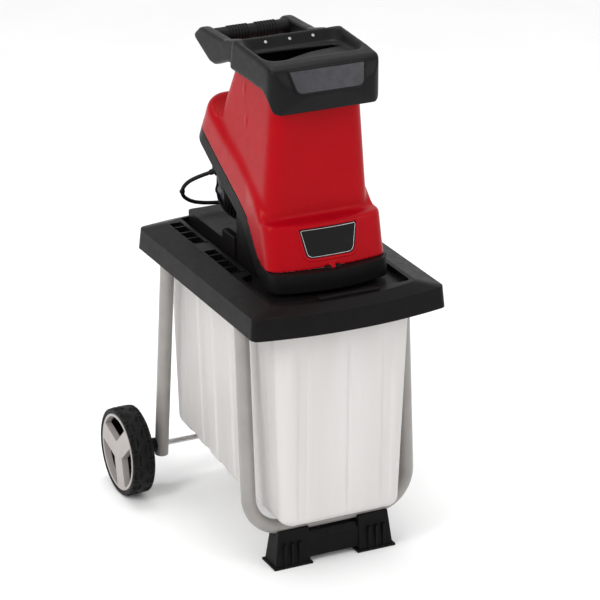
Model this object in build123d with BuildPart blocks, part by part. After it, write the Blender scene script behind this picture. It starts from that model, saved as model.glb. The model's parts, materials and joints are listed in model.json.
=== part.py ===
"""Electric garden wood chipper: a tray on a wheeled tube frame carries a tilted
knife-disc cutter with its motor, and a pull-out collection box hangs below it.

Frame: millimetres, +Z up, floor at Z = 0, front towards -Y, X = 0 is the centre plane.
Every piece is its own solid and is written to parts/NAME.step.
"""

import os
from math import acos, atan, atan2, cos, degrees, hypot, pi, radians, sin, tan

from build123d import *

os.makedirs("parts", exist_ok=True)

# ---------------------------------------------------------------- driving sizes
OVERALL_DEPTH = 555.0          # front of the tray to the back of the wheels
FIT = 0.3                      # air between pieces that are screwed or clipped together
RUN = 0.05                     # radial clearance of a running fit
WALL = 3.0                     # moulded wall

# wheels and axle
WHEEL_D = 160.0
WHEEL_W = 42.0
WHEEL_X = 216.0                # middle of a wheel
TYRE_WALL = 10.0
HUB_R = 17.0
AXLE_D = 10.0
AXLE_Z = WHEEL_D / 2
AXLE_Y = OVERALL_DEPTH / 2 - WHEEL_D / 2
AXLE_END_GAP = 10.0            # wheel face to the end of the axle

# tube frame
TUBE_D = 25.0
TUBE_WALL = 1.5
LEG_X = 150.0
REAR_LEG_LEAN = 6.4            # degrees from vertical, foot towards the back
REAR_LEG_BELOW_AXLE = 20.0
FRONT_LEG_LEAN = 4.3           # degrees from vertical, foot towards the front
FRONT_BAR_Y = -177.5
FRONT_BAR_Z = 70.0
FRONT_BEND_R = 62.0
TUBE_TOP_Z = 483.0

# tray
TRAY_W = 356.0
TRAY_L = 482.0
TRAY_BOW = 21.0                # the front and back edges bulge this much
TRAY_LOW_Z = 453.5
TRAY_EDGE_Z = 490.0
TRAY_CROWN_Z = 500.0
TRAY_FLOOR_Z = 490.0           # top of the recessed floor
TRAY_Y = -OVERALL_DEPTH / 2 + TRAY_BOW + TRAY_L / 2
SKIRT_DRAFT = 3.0              # the skirt leans in this much from its foot to its top
RECESS_FRONT_W = 250.0
RECESS_BACK_W = 204.0
RECESS_FRONT_Y = TRAY_Y - TRAY_L / 2 + 31.0
RECESS_NECK_Y = -97.0
RECESS_BACK_Y = TRAY_Y + TRAY_L / 2 - 20.0
CHIP_HOLE_W = 150.0
CHIP_HOLE_Y = (-168.0, 4.0)
TRAY_CORNER_R = 14.0

# cutter plane: tilted about X, its upper end towards the back
TILT = 28.7
CUTTER_Y = 64.0                # middle of the cutting disc, in the seam plane
CUTTER_Z = 661.0
SEAM_Z = 531.0                 # the level front stretch of the seam
BASE_TOP_GAP = 0.3             # air between the base housing and the cover
HOUSING_HALF = 98.0            # half width of the housing behind the front
HOUSING_FRONT_HALF = 110.0
HOUSING_FRONT_Y = -181.0       # its front corners
HOUSING_BOW = 22.0
HOUSING_TAPER_Y = -60.0        # where the sides turn parallel
HOUSING_BACK_V = 98.0          # the back wall, up the seam plane from the disc's middle
HOUSING_BACK_R = 45.0
BAND_T = 26.0                  # depth of the black band below the seam

# cutter drive
DISC_R = 84.0
DISC_T = 6.0
DISC_H = 4.0                   # underside of the disc above the seam plane
GEAR_MODULE = 1.0
PINION_TEETH = 12
GEAR_TEETH = 38
SHAFT_D = 12.0
BELL_TOP_R = 84.0
BELL_END_R = 64.0
BELL_END_H = -130.0
STATOR_R = 34.0
ROTOR_R = 20.0

# tower and hopper
TOWER_FRONT_Y = -136.0
TOWER_TOP_Z = 846.0
TOWER_HALF_LOW = 97.0          # half width at TOWER_LOW_Z
TOWER_HALF_TOP = 78.0
TOWER_LOW_Z = 600.0
TOWER_BACK_LOW_Y = 139.8       # the leaning back wall, at TOWER_LOW_Z
TOWER_BACK_TOP_Y = 25.5        # and at TOWER_TOP_Z
HOPPER_HALF = 100.0
HOPPER_CORNER_Y = -166.0       # the plan's front corners
HOPPER_BOW = 12.0
HOPPER_PLAN_BACK_Y = 4.0
HOPPER_RIM_BACK_Z = 887.0
HOPPER_RIM_FRONT_Z = 881.0
HOPPER_BACK_Y = -9.0
GRIP_Y = 128.0
GRIP_Z = 850.0
GRIP_D = 30.0
ARM_IN_X = 67.0
ARM_OUT_X = 87.0

# collection box
BOX_FRONT_Y = -240.5
BOX_BACK_Y = 224.0
BOX_HALF_TOP = 124.0
BOX_HALF_LOW = 111.0
BOX_TOP_Z = 448.0
BOX_LOW_Z = 89.0
BOX_BACK_LOW_Z = 113.0         # the floor rises behind the middle to clear the axle
BOX_STEP_Y = -45.0             # where the floor starts to rise
BOX_WALL = 2.5
BOX_LIP = 9.0

# ---------------------------------------------------------------- derived places
SIN_T, COS_T = sin(radians(TILT)), cos(radians(TILT))
CENTRE_DISTANCE = GEAR_MODULE * (PINION_TEETH + GEAR_TEETH) / 2
MOTOR_V = -CENTRE_DISTANCE     # the motor's shaft, down the seam plane from the disc's
REAR_LEAN_T = tan(radians(REAR_LEG_LEAN))
FRONT_LEAN_T = tan(radians(FRONT_LEG_LEAN))


def cutter_point(u, v, h):
    """A point given along X, up the seam plane, and square off it."""
    return Vector(u, CUTTER_Y + v * COS_T - h * SIN_T, CUTTER_Z + v * SIN_T + h * COS_T)


def cutter_plane(h, v=0.0, u=0.0):
    """A plane parallel to the seam, h above it, with its origin at (u, v)."""
    return Plane(origin=cutter_point(u, v, h), x_dir=(1, 0, 0), z_dir=(0, -SIN_T, COS_T))


def side_plane(x):
    """A plane across X whose sketch axes are +Y and +Z."""
    return Plane(origin=(x, 0, 0), x_dir=(0, 1, 0), z_dir=(1, 0, 0))


def front_plane(y):
    """A plane across Y whose sketch axes are +X and +Z, facing -Y."""
    return Plane(origin=(0, y, 0), x_dir=(1, 0, 0), z_dir=(0, -1, 0))


def keep(part, name):
    """Labels a finished sub-part and writes its STEP file."""
    part.label = name
    export_step(part, f"parts/{name}.step")


# ================================================================ wheels and axle
TYRE_TOP_R = WHEEL_D / 2
CORE_R = TYRE_TOP_R - TYRE_WALL - FIT
CORE_BARREL = 6.0
COVER_DEPTH = 13.0             # how deep the grey wheel cover reaches into the wheel
ARM_W = 34.0
CLIP_R = 7.6
CLIP_T = 1.2
BORE_R = AXLE_D / 2 + RUN
AXLE_HALF = WHEEL_X + WHEEL_W / 2 - AXLE_END_GAP
CLIP_X = AXLE_HALF - 5.0
SPOKE_LEAN = 13.0              # degrees from straight down to the lowest arm, towards the front


def wheel_plane(x, side):
    """A plane across the axle at a distance x from the middle, facing outwards."""
    return Plane(origin=(side * x, AXLE_Y, AXLE_Z), x_dir=(0, 1, 0), z_dir=(side, 0, 0))


def wheel(side, name):
    """Tyre, core and cover of one wheel; side is -1 for the left one."""
    inner_x = WHEEL_X - WHEEL_W / 2
    outer_x = WHEEL_X + WHEEL_W / 2
    with BuildPart() as tyre:
        with BuildSketch(wheel_plane(inner_x, side)):
            Circle(TYRE_TOP_R)
            Circle(TYRE_TOP_R - TYRE_WALL, mode=Mode.SUBTRACT)
        extrude(amount=WHEEL_W)
        chamfer(tyre.edges().filter_by(GeomType.CIRCLE).group_by(SortBy.RADIUS)[-1], 2.5)
    keep(tyre.part, f"{name}_tyre")

    with BuildPart() as core:
        with BuildSketch(wheel_plane(inner_x + 1.0, side)):
            Circle(CORE_R)
            Circle(CORE_R - CORE_BARREL, mode=Mode.SUBTRACT)
        extrude(amount=WHEEL_W - 2.0 - COVER_DEPTH)
        with BuildSketch(wheel_plane(inner_x, side)):
            Circle(HUB_R)
        extrude(amount=CLIP_X - CLIP_T / 2 - FIT - inner_x)
        with BuildSketch(wheel_plane(inner_x + 6.0, side)):
            Circle(CORE_R - CORE_BARREL + 1.0)
        extrude(amount=4.0)
        with BuildSketch(wheel_plane(inner_x, side)):
            Circle(BORE_R)
        extrude(amount=WHEEL_W, mode=Mode.SUBTRACT)
    keep(core.part, f"{name}_core")

    with BuildPart() as cover:
        with BuildSketch(wheel_plane(outer_x - COVER_DEPTH + FIT, side)):
            Circle(CORE_R)
            Circle(CORE_R - 5.0, mode=Mode.SUBTRACT)
            for k in range(3):
                angle = radians(-side * (90.0 + SPOKE_LEAN) + 120.0 * k)
                reach = CORE_R - 2.0
                with Locations((cos(angle) * reach / 2, sin(angle) * reach / 2)):
                    Rectangle(reach, ARM_W, rotation=degrees(angle))
        extrude(amount=COVER_DEPTH - FIT - 1.0)
        with BuildSketch(wheel_plane(outer_x - COVER_DEPTH + FIT, side)):
            Circle(CLIP_R + 1.0)
        extrude(amount=COVER_DEPTH - 5.0, mode=Mode.SUBTRACT)
    keep(cover.part, f"{name}_cover")


wheel(-1, "left_wheel")
wheel(1, "right_wheel")

with BuildPart() as axle:
    with BuildSketch(side_plane(-AXLE_HALF)):
        with Locations((AXLE_Y, AXLE_Z)):
            Circle(AXLE_D / 2)
    extrude(amount=2 * AXLE_HALF)
    chamfer(axle.edges().filter_by(GeomType.CIRCLE), 1.0)
    for side in (-1, 1):
        with BuildSketch(side_plane(side * CLIP_X - CLIP_T / 2 - 0.1)):
            with Locations((AXLE_Y, AXLE_Z)):
                Circle(AXLE_D / 2 + 1.0)
                Circle(AXLE_D / 2 - 0.8, mode=Mode.SUBTRACT)
        extrude(amount=CLIP_T + 0.2, mode=Mode.SUBTRACT)
keep(axle.part, "axle")

with BuildPart() as axle_clips:
    for side in (-1, 1):
        with BuildSketch(side_plane(side * CLIP_X - CLIP_T / 2)):
            with Locations((AXLE_Y, AXLE_Z)):
                Circle(CLIP_R)
                Circle(AXLE_D / 2 - 0.6, mode=Mode.SUBTRACT)
        extrude(amount=CLIP_T)
keep(axle_clips.part, "axle_clips")

SPACER_R = 13.0
with BuildPart() as axle_spacers:
    start_x = LEG_X + TUBE_D / 2 + FIT
    for side in (-1, 1):
        with BuildSketch(wheel_plane(start_x, side)):
            Circle(SPACER_R)
        extrude(amount=WHEEL_X - WHEEL_W / 2 - 0.5 - start_x)
        with BuildSketch(wheel_plane(start_x, side)):
            Circle(AXLE_D / 2 + 0.1)
        extrude(amount=WHEEL_W, mode=Mode.SUBTRACT)
keep(axle_spacers.part, "axle_spacers")

# ================================================================ tube frame
REAR_LEG_LOW_Z = AXLE_Z - REAR_LEG_BELOW_AXLE


def rear_leg_y(z):
    return AXLE_Y - (z - AXLE_Z) * REAR_LEAN_T


def front_leg_y(z):
    return FRONT_BAR_Y + (z - FRONT_BAR_Z) * FRONT_LEAN_T


def rear_leg_plane(side, z):
    """A plane square to a rear leg at height z; its normal points up the leg."""
    lean = radians(REAR_LEG_LEAN)
    return Plane(origin=(side * LEG_X, rear_leg_y(z), z), x_dir=(1, 0, 0),
                 z_dir=(0, -sin(lean), cos(lean)))


def front_leg_plane(side, z):
    """A plane square to a front leg at height z; its normal points up the leg."""
    lean = radians(FRONT_LEG_LEAN)
    return Plane(origin=(side * LEG_X, front_leg_y(z), z), x_dir=(1, 0, 0),
                 z_dir=(0, sin(lean), cos(lean)))


def rear_leg(side, name):
    with BuildPart() as leg:
        with BuildSketch(rear_leg_plane(side, REAR_LEG_LOW_Z)):
            Circle(TUBE_D / 2)
            Circle(TUBE_D / 2 - TUBE_WALL, mode=Mode.SUBTRACT)
        extrude(amount=(TUBE_TOP_Z - REAR_LEG_LOW_Z) / cos(radians(REAR_LEG_LEAN)))
        with BuildSketch(side_plane(side * LEG_X - TUBE_D)):
            with Locations((AXLE_Y, AXLE_Z)):
                Circle(AXLE_D / 2 + 0.15)
        extrude(amount=2 * TUBE_D, mode=Mode.SUBTRACT)
    keep(leg.part, name)


rear_leg(-1, "left_rear_leg")
rear_leg(1, "right_rear_leg")

with BuildPart() as front_leg_frame:
    top_y = front_leg_y(TUBE_TOP_Z)
    with BuildLine() as front_path:
        FilletPolyline(
            (-LEG_X, top_y, TUBE_TOP_Z),
            (-LEG_X, FRONT_BAR_Y, FRONT_BAR_Z),
            (LEG_X, FRONT_BAR_Y, FRONT_BAR_Z),
            (LEG_X, top_y, TUBE_TOP_Z),
            radius=FRONT_BEND_R,
        )
    with BuildSketch(Plane(origin=front_path.line @ 0, z_dir=front_path.line % 0)):
        Circle(TUBE_D / 2)
        Circle(TUBE_D / 2 - TUBE_WALL, mode=Mode.SUBTRACT)
    sweep()
keep(front_leg_frame.part, "front_leg_frame")

# ================================================================ front foot
FOOT_H = 67.0
FOOT_OUT_LOW, FOOT_OUT_TOP = 112.0, 104.0
FOOT_IN = 47.0
FOOT_FRONT_LOW, FOOT_BACK_LOW = FRONT_BAR_Y - 23.0, FRONT_BAR_Y + 23.0
FOOT_FRONT_TOP, FOOT_BACK_TOP = FRONT_BAR_Y - 16.5, FRONT_BAR_Y + 16.5
FOOT_RIB_W = 5.0
FOOT_SCREW_X = 76.0
BAR_LOW_Z, BAR_TOP_Z = 10.0, 55.0


def foot_rectangle(x_in, x_out, y_front, y_back, side):
    with Locations((side * (x_in + x_out) / 2, (y_front + y_back) / 2)):
        Rectangle(x_out - x_in, y_back - y_front)


with BuildPart() as front_foot:
    for side in (-1, 1):
        with BuildSketch(Plane.XY):
            foot_rectangle(FOOT_IN, FOOT_OUT_LOW, FOOT_FRONT_LOW, FOOT_BACK_LOW, side)
        with BuildSketch(Plane.XY.offset(FOOT_H)):
            foot_rectangle(FOOT_IN, FOOT_OUT_TOP, FOOT_FRONT_TOP, FOOT_BACK_TOP, side)
        loft()
    with BuildSketch(side_plane(-FOOT_IN)) as bar_profile:
        with BuildLine():
            Polyline(
                (FRONT_BAR_Y - 19.0, BAR_LOW_Z), (FRONT_BAR_Y - 18.0, 43.0),
                (FRONT_BAR_Y - 11.0, BAR_TOP_Z), (FRONT_BAR_Y + 15.0, BAR_TOP_Z),
                (FRONT_BAR_Y + 19.0, BAR_LOW_Z), close=True,
            )
        make_face()
    extrude(amount=2 * FOOT_IN)
    fillet(front_foot.edges().filter_by(lambda e: e.center().Z > 5.0 and e.length > 25.0
                                        and abs(e.center().X) > FOOT_IN + 2.0), 2.0)
    for side in (-1, 1):
        with BuildSketch(Plane.XY):
            foot_rectangle(FOOT_IN - 4.0, FOOT_OUT_LOW + 3.0, FOOT_FRONT_LOW - 3.0,
                           FOOT_BACK_LOW + 3.0, side)
        extrude(amount=4.0)
        for k in range(3):
            with BuildSketch(front_plane(FOOT_FRONT_LOW - 1.5)):
                with Locations((side * (FOOT_IN + 19.0 + 14.0 * k), 24.0)):
                    Rectangle(FOOT_RIB_W, 42.0)
            extrude(amount=-10.0)
    for side in (-1, 1):
        with BuildSketch(Plane.XY):
            foot_rectangle(FOOT_IN + WALL, FOOT_OUT_LOW - WALL, FOOT_FRONT_LOW + WALL,
                           FOOT_BACK_LOW - WALL, side)
        with BuildSketch(Plane.XY.offset(FOOT_H - 28.0)):
            foot_rectangle(FOOT_IN + WALL, FOOT_OUT_TOP - WALL, FOOT_FRONT_TOP + WALL,
                           FOOT_BACK_TOP - WALL, side)
        loft(mode=Mode.SUBTRACT)
    with BuildSketch(side_plane(-FOOT_OUT_LOW - 5.0)):
        with Locations((FRONT_BAR_Y, FRONT_BAR_Z)):
            Circle(TUBE_D / 2 + FIT)
    extrude(amount=2 * FOOT_OUT_LOW + 10.0, mode=Mode.SUBTRACT)
    with Locations((-FOOT_SCREW_X, FRONT_BAR_Y, FOOT_H - 40.0),
                   (FOOT_SCREW_X, FRONT_BAR_Y, FOOT_H - 40.0)):
        Cylinder(2.4, 60.0, mode=Mode.SUBTRACT)
keep(front_foot.part, "front_foot")

with BuildPart() as foot_screws:
    for x in (-FOOT_SCREW_X, FOOT_SCREW_X):
        with BuildSketch(Plane.XY.offset(32.0)):
            with Locations((x, FRONT_BAR_Y)):
                Circle(4.2)
        extrude(amount=3.0)
        with BuildSketch(Plane.XY.offset(34.9)):
            with Locations((x, FRONT_BAR_Y)):
                Circle(2.1)
        extrude(amount=21.5)
        with BuildSketch(Plane.XY.offset(31.9)):
            with Locations((x, FRONT_BAR_Y)):
                Rectangle(5.0, 1.0)
                Rectangle(1.0, 5.0)
        extrude(amount=1.5, mode=Mode.SUBTRACT)
keep(foot_screws.part, "foot_screws")

# ================================================================ tray
SOCKET_R = TUBE_D / 2 + FIT + WALL
POCKET_W = 24.0
POCKET_X = 119.0
POCKET_DEPTH = 8.0
POCKETS_Y = ((82.5, 190.5), (-72.5, 43.5))
LATCH_Y = -239.0
LATCH_W = 10.0
LATCH_X = (-52.0, 50.0)
LATCH_LEG_X = 30.0
LATCH_TRAVEL = 8.0
LEG_SLOT_L = 14.0
RAIL_LIP_X = BOX_HALF_TOP + BOX_WALL + 0.5
RAIL_WEB_X = BOX_HALF_TOP + BOX_LIP + 1.0
RAIL_T = 2.5
RAIL_LIP_Z = BOX_TOP_Z - 5.0     # the box's flange rests on this
RAIL_Y = (-195.0, 222.0)


def bowed_face(z, width, length, bow, y_mid, corner):
    """A level face: a rectangle whose front and back edges bulge, with rounded corners."""
    w, l = width / 2, length / 2
    with BuildSketch(Plane.XY.offset(z)) as face:
        with BuildLine():
            Line((-w, y_mid - l), (-w, y_mid + l))
            ThreePointArc((-w, y_mid + l), (0, y_mid + l + bow), (w, y_mid + l))
            Line((w, y_mid + l), (w, y_mid - l))
            ThreePointArc((w, y_mid - l), (0, y_mid - l - bow), (-w, y_mid - l))
        make_face()
        fillet(face.vertices(), corner)
    return face.sketch


def tray_block(inset, low_z):
    """The tray's outer form moved in by inset: a leaning skirt and a crowned top."""
    width, length = TRAY_W - 2 * inset, TRAY_L - 2 * inset
    draft = 2 * SKIRT_DRAFT
    with BuildPart() as block:
        add(bowed_face(low_z, width, length, TRAY_BOW, TRAY_Y, TRAY_CORNER_R))
        add(bowed_face(TRAY_EDGE_Z - inset, width - draft, length - draft, TRAY_BOW, TRAY_Y, TRAY_CORNER_R))
        loft()
        add(bowed_face(TRAY_EDGE_Z - inset, width - draft, length - draft, TRAY_BOW, TRAY_Y, TRAY_CORNER_R))
        add(bowed_face(TRAY_CROWN_Z - inset, RECESS_FRONT_W + 16.0, TRAY_L - 50.0, TRAY_BOW,
                       TRAY_Y, TRAY_CORNER_R))
        loft()
    return block.part


def recess_face(z, grow):
    """The recessed floor's plan: wide at the front, narrower behind, bowed ends."""
    wf, wb = RECESS_FRONT_W / 2 + grow, RECESS_BACK_W / 2 + grow
    yf, yn, yb = RECESS_FRONT_Y - grow, RECESS_NECK_Y + grow, RECESS_BACK_Y + grow
    with BuildSketch(Plane.XY.offset(z)) as face:
        with BuildLine():
            ThreePointArc((-wf, yf), (0, yf - 6.0), (wf, yf))
            Polyline((wf, yf), (wf, yn), (wb, yn + 8.0), (wb, yb))
            ThreePointArc((wb, yb), (0, yb + 12.0), (-wb, yb))
            Polyline((-wb, yb), (-wb, yn + 8.0), (-wf, yn), (-wf, yf))
        make_face()
        fillet(face.vertices().sort_by(Axis.Y)[:2], 9.0)
    return face.sketch


def leg_bore(radius, z, length):
    """Four cylinders round the upper ends of the legs, from height z up."""
    with BuildPart() as bores:
        for side in (-1, 1):
            for plane in (rear_leg_plane(side, z), front_leg_plane(side, z)):
                with BuildSketch(plane):
                    Circle(radius)
                extrude(amount=length)
    return bores.part


tray_outer = tray_block(0.0, TRAY_LOW_Z)
chip_hole_mid = (CHIP_HOLE_Y[0] + CHIP_HOLE_Y[1]) / 2
chip_hole_l = CHIP_HOLE_Y[1] - CHIP_HOLE_Y[0]
with BuildPart() as tray:
    add(tray_outer)
    add(tray_block(WALL, TRAY_LOW_Z - 1.0), mode=Mode.SUBTRACT)
    add(recess_face(TRAY_FLOOR_Z - WALL, WALL))
    extrude(amount=TRAY_CROWN_Z - 5.0 - TRAY_FLOOR_Z + WALL)
    for side in (-1, 1):
        for y0, y1 in POCKETS_Y:
            with BuildSketch(Plane.XY.offset(TRAY_CROWN_Z - 4.0)):
                with Locations((side * POCKET_X, (y0 + y1) / 2)):
                    RectangleRounded(POCKET_W + 2 * WALL, y1 - y0 + 2 * WALL, 6.0)
            extrude(amount=-(POCKET_DEPTH + WALL - 1.0))
    add(recess_face(TRAY_FLOOR_Z, 0.0))
    extrude(amount=30.0, mode=Mode.SUBTRACT)
    for side in (-1, 1):
        for y0, y1 in POCKETS_Y:
            with BuildSketch(Plane.XY.offset(TRAY_CROWN_Z + 1.0)):
                with Locations((side * POCKET_X, (y0 + y1) / 2)):
                    RectangleRounded(POCKET_W, y1 - y0, 4.0)
            extrude(amount=-(POCKET_DEPTH + 1.0), mode=Mode.SUBTRACT)
            with BuildSketch(Plane.XY.offset(TRAY_CROWN_Z - POCKET_DEPTH - 0.5)):
                for k in (-1, 0, 1):
                    with Locations((side * POCKET_X, (y0 + y1) / 2 + k * (y1 - y0) * 0.27)):
                        Rectangle(POCKET_W + 1.0, 3.0)
                with Locations((side * (POCKET_X - POCKET_W / 2 + 1.5), (y0 + y1) / 2)):
                    Rectangle(4.0, y1 - y0 + 4.0)
            extrude(amount=POCKET_DEPTH + 2.0)
    add(leg_bore(SOCKET_R, TRAY_LOW_Z + 3.0, 36.0))
    add(leg_bore(TUBE_D / 2 + FIT, TRAY_LOW_Z - 20.0, TUBE_TOP_Z + FIT - TRAY_LOW_Z + 21.0),
        mode=Mode.SUBTRACT)
    with BuildSketch(Plane.XY.offset(TRAY_FLOOR_Z - 20.0)):
        with Locations((0, chip_hole_mid)):
            RectangleRounded(CHIP_HOLE_W, chip_hole_l, 10.0)
    extrude(amount=40.0, mode=Mode.SUBTRACT)
    with BuildSketch(Plane.XY.offset(TRAY_FLOOR_Z - 10.0)):
        with Locations((LATCH_LEG_X, LATCH_Y)):
            Rectangle(LEG_SLOT_L + LATCH_TRAVEL, 5.0)
    extrude(amount=30.0, mode=Mode.SUBTRACT)
keep(tray.part, "tray")

for side, name in ((-1, "left_box_rail"), (1, "right_box_rail")):
    with BuildPart() as rail:
        with BuildSketch(front_plane(RAIL_Y[0])):
            with BuildLine():
                Polyline(
                    (side * RAIL_LIP_X, RAIL_LIP_Z - RAIL_T),
                    (side * (RAIL_WEB_X + RAIL_T), RAIL_LIP_Z - RAIL_T),
                    (side * (RAIL_WEB_X + RAIL_T), TRAY_CROWN_Z),
                    (side * RAIL_WEB_X, TRAY_CROWN_Z),
                    (side * RAIL_WEB_X, RAIL_LIP_Z),
                    (side * RAIL_LIP_X, RAIL_LIP_Z), close=True,
                )
            make_face()
        extrude(amount=RAIL_Y[0] - RAIL_Y[1])
        add(tray.part, mode=Mode.SUBTRACT)
        add(leg_bore(TUBE_D / 2 + FIT, TRAY_LOW_Z - 30.0, 80.0), mode=Mode.SUBTRACT)
    keep(rail.part.solids().sort_by(SortBy.VOLUME)[-1], name)

with BuildPart() as box_latch:
    with BuildSketch(Plane.XY.offset(TRAY_CROWN_Z + FIT)):
        with BuildLine():
            Polyline(
                (LATCH_X[0], LATCH_Y - LATCH_W / 2), (LATCH_X[0], LATCH_Y + LATCH_W / 2),
                (LATCH_X[1], LATCH_Y + LATCH_W / 2), (LATCH_X[1] + 8.0, LATCH_Y - LATCH_W / 2),
                close=True,
            )
        make_face()
    extrude(amount=5.0)
    fillet(box_latch.faces().sort_by(Axis.Z)[-1].edges(), 1.5)
    with BuildSketch(Plane.XY.offset(TRAY_CROWN_Z + 2.0)):
        with Locations((LATCH_LEG_X, LATCH_Y)):
            Rectangle(LEG_SLOT_L - 1.0, 3.6)
    extrude(amount=-(TRAY_CROWN_Z + 2.0 - BOX_TOP_Z - 4.0))
keep(box_latch.part, "box_latch")

# ================================================================ collection box
BOX_CORNER = 26.0


def box_face(z, half, y_front, y_back, corner):
    with BuildSketch(Plane.XY.offset(z)) as face:
        with Locations((0, (y_front + y_back) / 2)):
            RectangleRounded(2 * half, y_back - y_front, corner)
    return face.sketch


def box_block(inset, top_z):
    """The box's form moved in by inset, up to top_z; its floor rises behind the middle."""
    with BuildPart() as block:
        add(box_face(BOX_LOW_Z + inset, BOX_HALF_LOW - inset, BOX_FRONT_Y + 6.0 + inset,
                     BOX_BACK_Y - inset, BOX_CORNER - inset))
        add(box_face(top_z, BOX_HALF_TOP - inset, BOX_FRONT_Y + inset,
                     BOX_BACK_Y - inset, BOX_CORNER - inset))
        loft()
        fillet(block.faces().sort_by(Axis.Z)[0].edges(), 14.0 - inset)
        with BuildSketch(side_plane(-BOX_HALF_TOP - 20.0)):
            with BuildLine():
                Polyline((BOX_STEP_Y, BOX_LOW_Z + inset), (BOX_BACK_Y + 20.0, BOX_BACK_LOW_Z + inset),
                         (BOX_BACK_Y + 20.0, BOX_LOW_Z - 20.0), (BOX_STEP_Y, BOX_LOW_Z - 20.0),
                         close=True)
            make_face()
        extrude(amount=2 * BOX_HALF_TOP + 40.0, mode=Mode.SUBTRACT)
    return block.part


with BuildPart() as collection_box:
    add(box_block(0.0, BOX_TOP_Z))
    add(box_face(BOX_TOP_Z - 4.0, BOX_HALF_TOP + BOX_LIP - 1.0, BOX_FRONT_Y - 2.0, BOX_BACK_Y + 2.0,
                 BOX_CORNER))
    extrude(amount=4.0)
    add(box_block(BOX_WALL, BOX_TOP_Z + 2.0), mode=Mode.SUBTRACT)
keep(collection_box.part, "collection_box")

# ================================================================ housing shells
COVER_SETBACK = 9.0            # the cover's front stands this far behind the base's
COVER_BOW = 14.0
COVER_FRONT_LEAN = 0.237       # how far the cover's front leans back per unit of height
SHOULDER_Z = 606.0
COVER_TOP_H = 54.0             # top of the cover over the disc, above the seam plane
# the seam from the front to the start of its sloping plane, as (y, z)
SEAM_FRONT = ((-140.0, SEAM_Z), (-112.0, SEAM_Z + 10.0), (-92.0, SEAM_Z + 29.0),
              (-60.0, SEAM_Z + 60.0), (-30.0, SEAM_Z + 80.0))


def moved_line(line, h):
    """A line of (y, z) points running back, moved square to itself by h."""
    moved = []
    for k, (y, z) in enumerate(line):
        y0, z0 = line[max(k - 1, 0)]
        y1, z1 = line[min(k + 1, len(line) - 1)]
        run = hypot(y1 - y0, z1 - z0)
        moved.append((y - h * (z1 - z0) / run, z + h * (y1 - y0) / run))
    return moved


def plane_points(h, *places):
    """Points (y, z) on the plane h above the seam, at the given places up it."""
    points = [cutter_point(0, v, h) for v in places]
    return [(point.Y, point.Z) for point in points]


def seam_line(h):
    """The seam as (y, z) points from front to back, moved square to itself by h."""
    line = [(-240.0, SEAM_Z)] + list(SEAM_FRONT) + plane_points(0.0, -30.0, 230.0)
    return moved_line(line, h)


def cross_slab(points, half=140.0):
    """A block of the given (y, z) outline, reaching half to each side of the middle."""
    with BuildPart() as slab:
        with BuildSketch(side_plane(-half)):
            with BuildLine():
                Polyline(*points, close=True)
            make_face()
        extrude(amount=2 * half)
    return slab.part


def front_plan(z, inset, shift, bow):
    """The housing's plan at height z: bowed front, sides tapering to parallel."""
    half, front = HOUSING_HALF - inset, HOUSING_FRONT_HALF - inset
    y_corner = HOUSING_FRONT_Y + inset + shift
    y_mid = y_corner - bow
    with BuildSketch(Plane.XY.offset(z)) as face:
        with BuildLine():
            ThreePointArc((-front, y_corner), (0, y_mid), (front, y_corner))
            Polyline((front, y_corner), (half, HOUSING_TAPER_Y), (half, 20.0), (-half, 20.0),
                     (-half, HOUSING_TAPER_Y), (-front, y_corner))
        make_face()
        fillet(face.vertices().sort_by(Axis.Y)[:2], 22.0 - inset)
    return face.sketch


def housing_form(inset, lean=0.0, setback=0.0, bow=HOUSING_BOW):
    """Everything inside the housing's walls, endless up and down."""
    with BuildPart() as form:
        low_z, high_z = SEAM_Z - 60.0, SEAM_Z + 200.0
        add(front_plan(low_z, inset, setback + (low_z - SEAM_Z) * lean, bow))
        add(front_plan(high_z, inset, setback + (high_z - SEAM_Z) * lean, bow))
        loft()
        with BuildSketch(cutter_plane(-90.0)) as back_face:
            with BuildLine():
                half, v_back = HOUSING_HALF - inset, HOUSING_BACK_V - inset
                Polyline((-half, -70.0), (-half, v_back), (half, v_back), (half, -70.0), close=True)
            make_face()
            fillet(back_face.vertices().group_by(Axis.Y)[-1], HOUSING_BACK_R - inset)
        extrude(amount=240.0)
    return form.part


TOWER_CORNER = 22.0


def tower_half(z):
    return TOWER_HALF_LOW + (TOWER_HALF_TOP - TOWER_HALF_LOW) * (z - TOWER_LOW_Z) / (
        TOWER_TOP_Z - TOWER_LOW_Z)


def tower_back(z):
    return TOWER_BACK_LOW_Y + (TOWER_BACK_TOP_Y - TOWER_BACK_LOW_Y) * (z - TOWER_LOW_Z) / (
        TOWER_TOP_Z - TOWER_LOW_Z)


def tower_face(z, inset):
    with BuildSketch(Plane.XY.offset(z)) as face:
        y0, y1 = TOWER_FRONT_Y + inset, tower_back(z) - inset
        with Locations((0, (y0 + y1) / 2)):
            RectangleRounded(2 * (tower_half(z) - inset), y1 - y0, TOWER_CORNER - inset)
    return face.sketch


def tower_form(inset, top_z):
    with BuildPart() as form:
        add(tower_face(TOWER_LOW_Z, inset))
        add(tower_face(top_z, inset))
        loft()
    return form.part


BACK_FLOOR_Y = 8.0             # rear wall of the chip chute
CHUTE_HALF = 88.0
CHUTE_FRONT_Y = -178.0
BOSS_R = 20.0
SPINDLE_BEARING_R = 14.0
SPINDLE_BEARING_T = 9.0
BEARING_H = (-BAND_T + WALL + 1.0, -BAND_T + WALL + 1.0 + SPINDLE_BEARING_T)
LOCK_V = HOUSING_BACK_V + 22.0
LOCK_LUG_R = 17.0
LOCK_LUG_T = 14.0
STUD_R = 4.0
HINGE_Y, HINGE_Z = -188.0, SEAM_Z + BASE_TOP_GAP
HINGE_PIN_R = 1.75
KNUCKLE_R = 4.0
KNUCKLE_L = 9.0                # each of the three knuckles
KNUCKLE_GAP = 0.4
NUT_R = 7.5
NUT_T = 6.0

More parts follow.
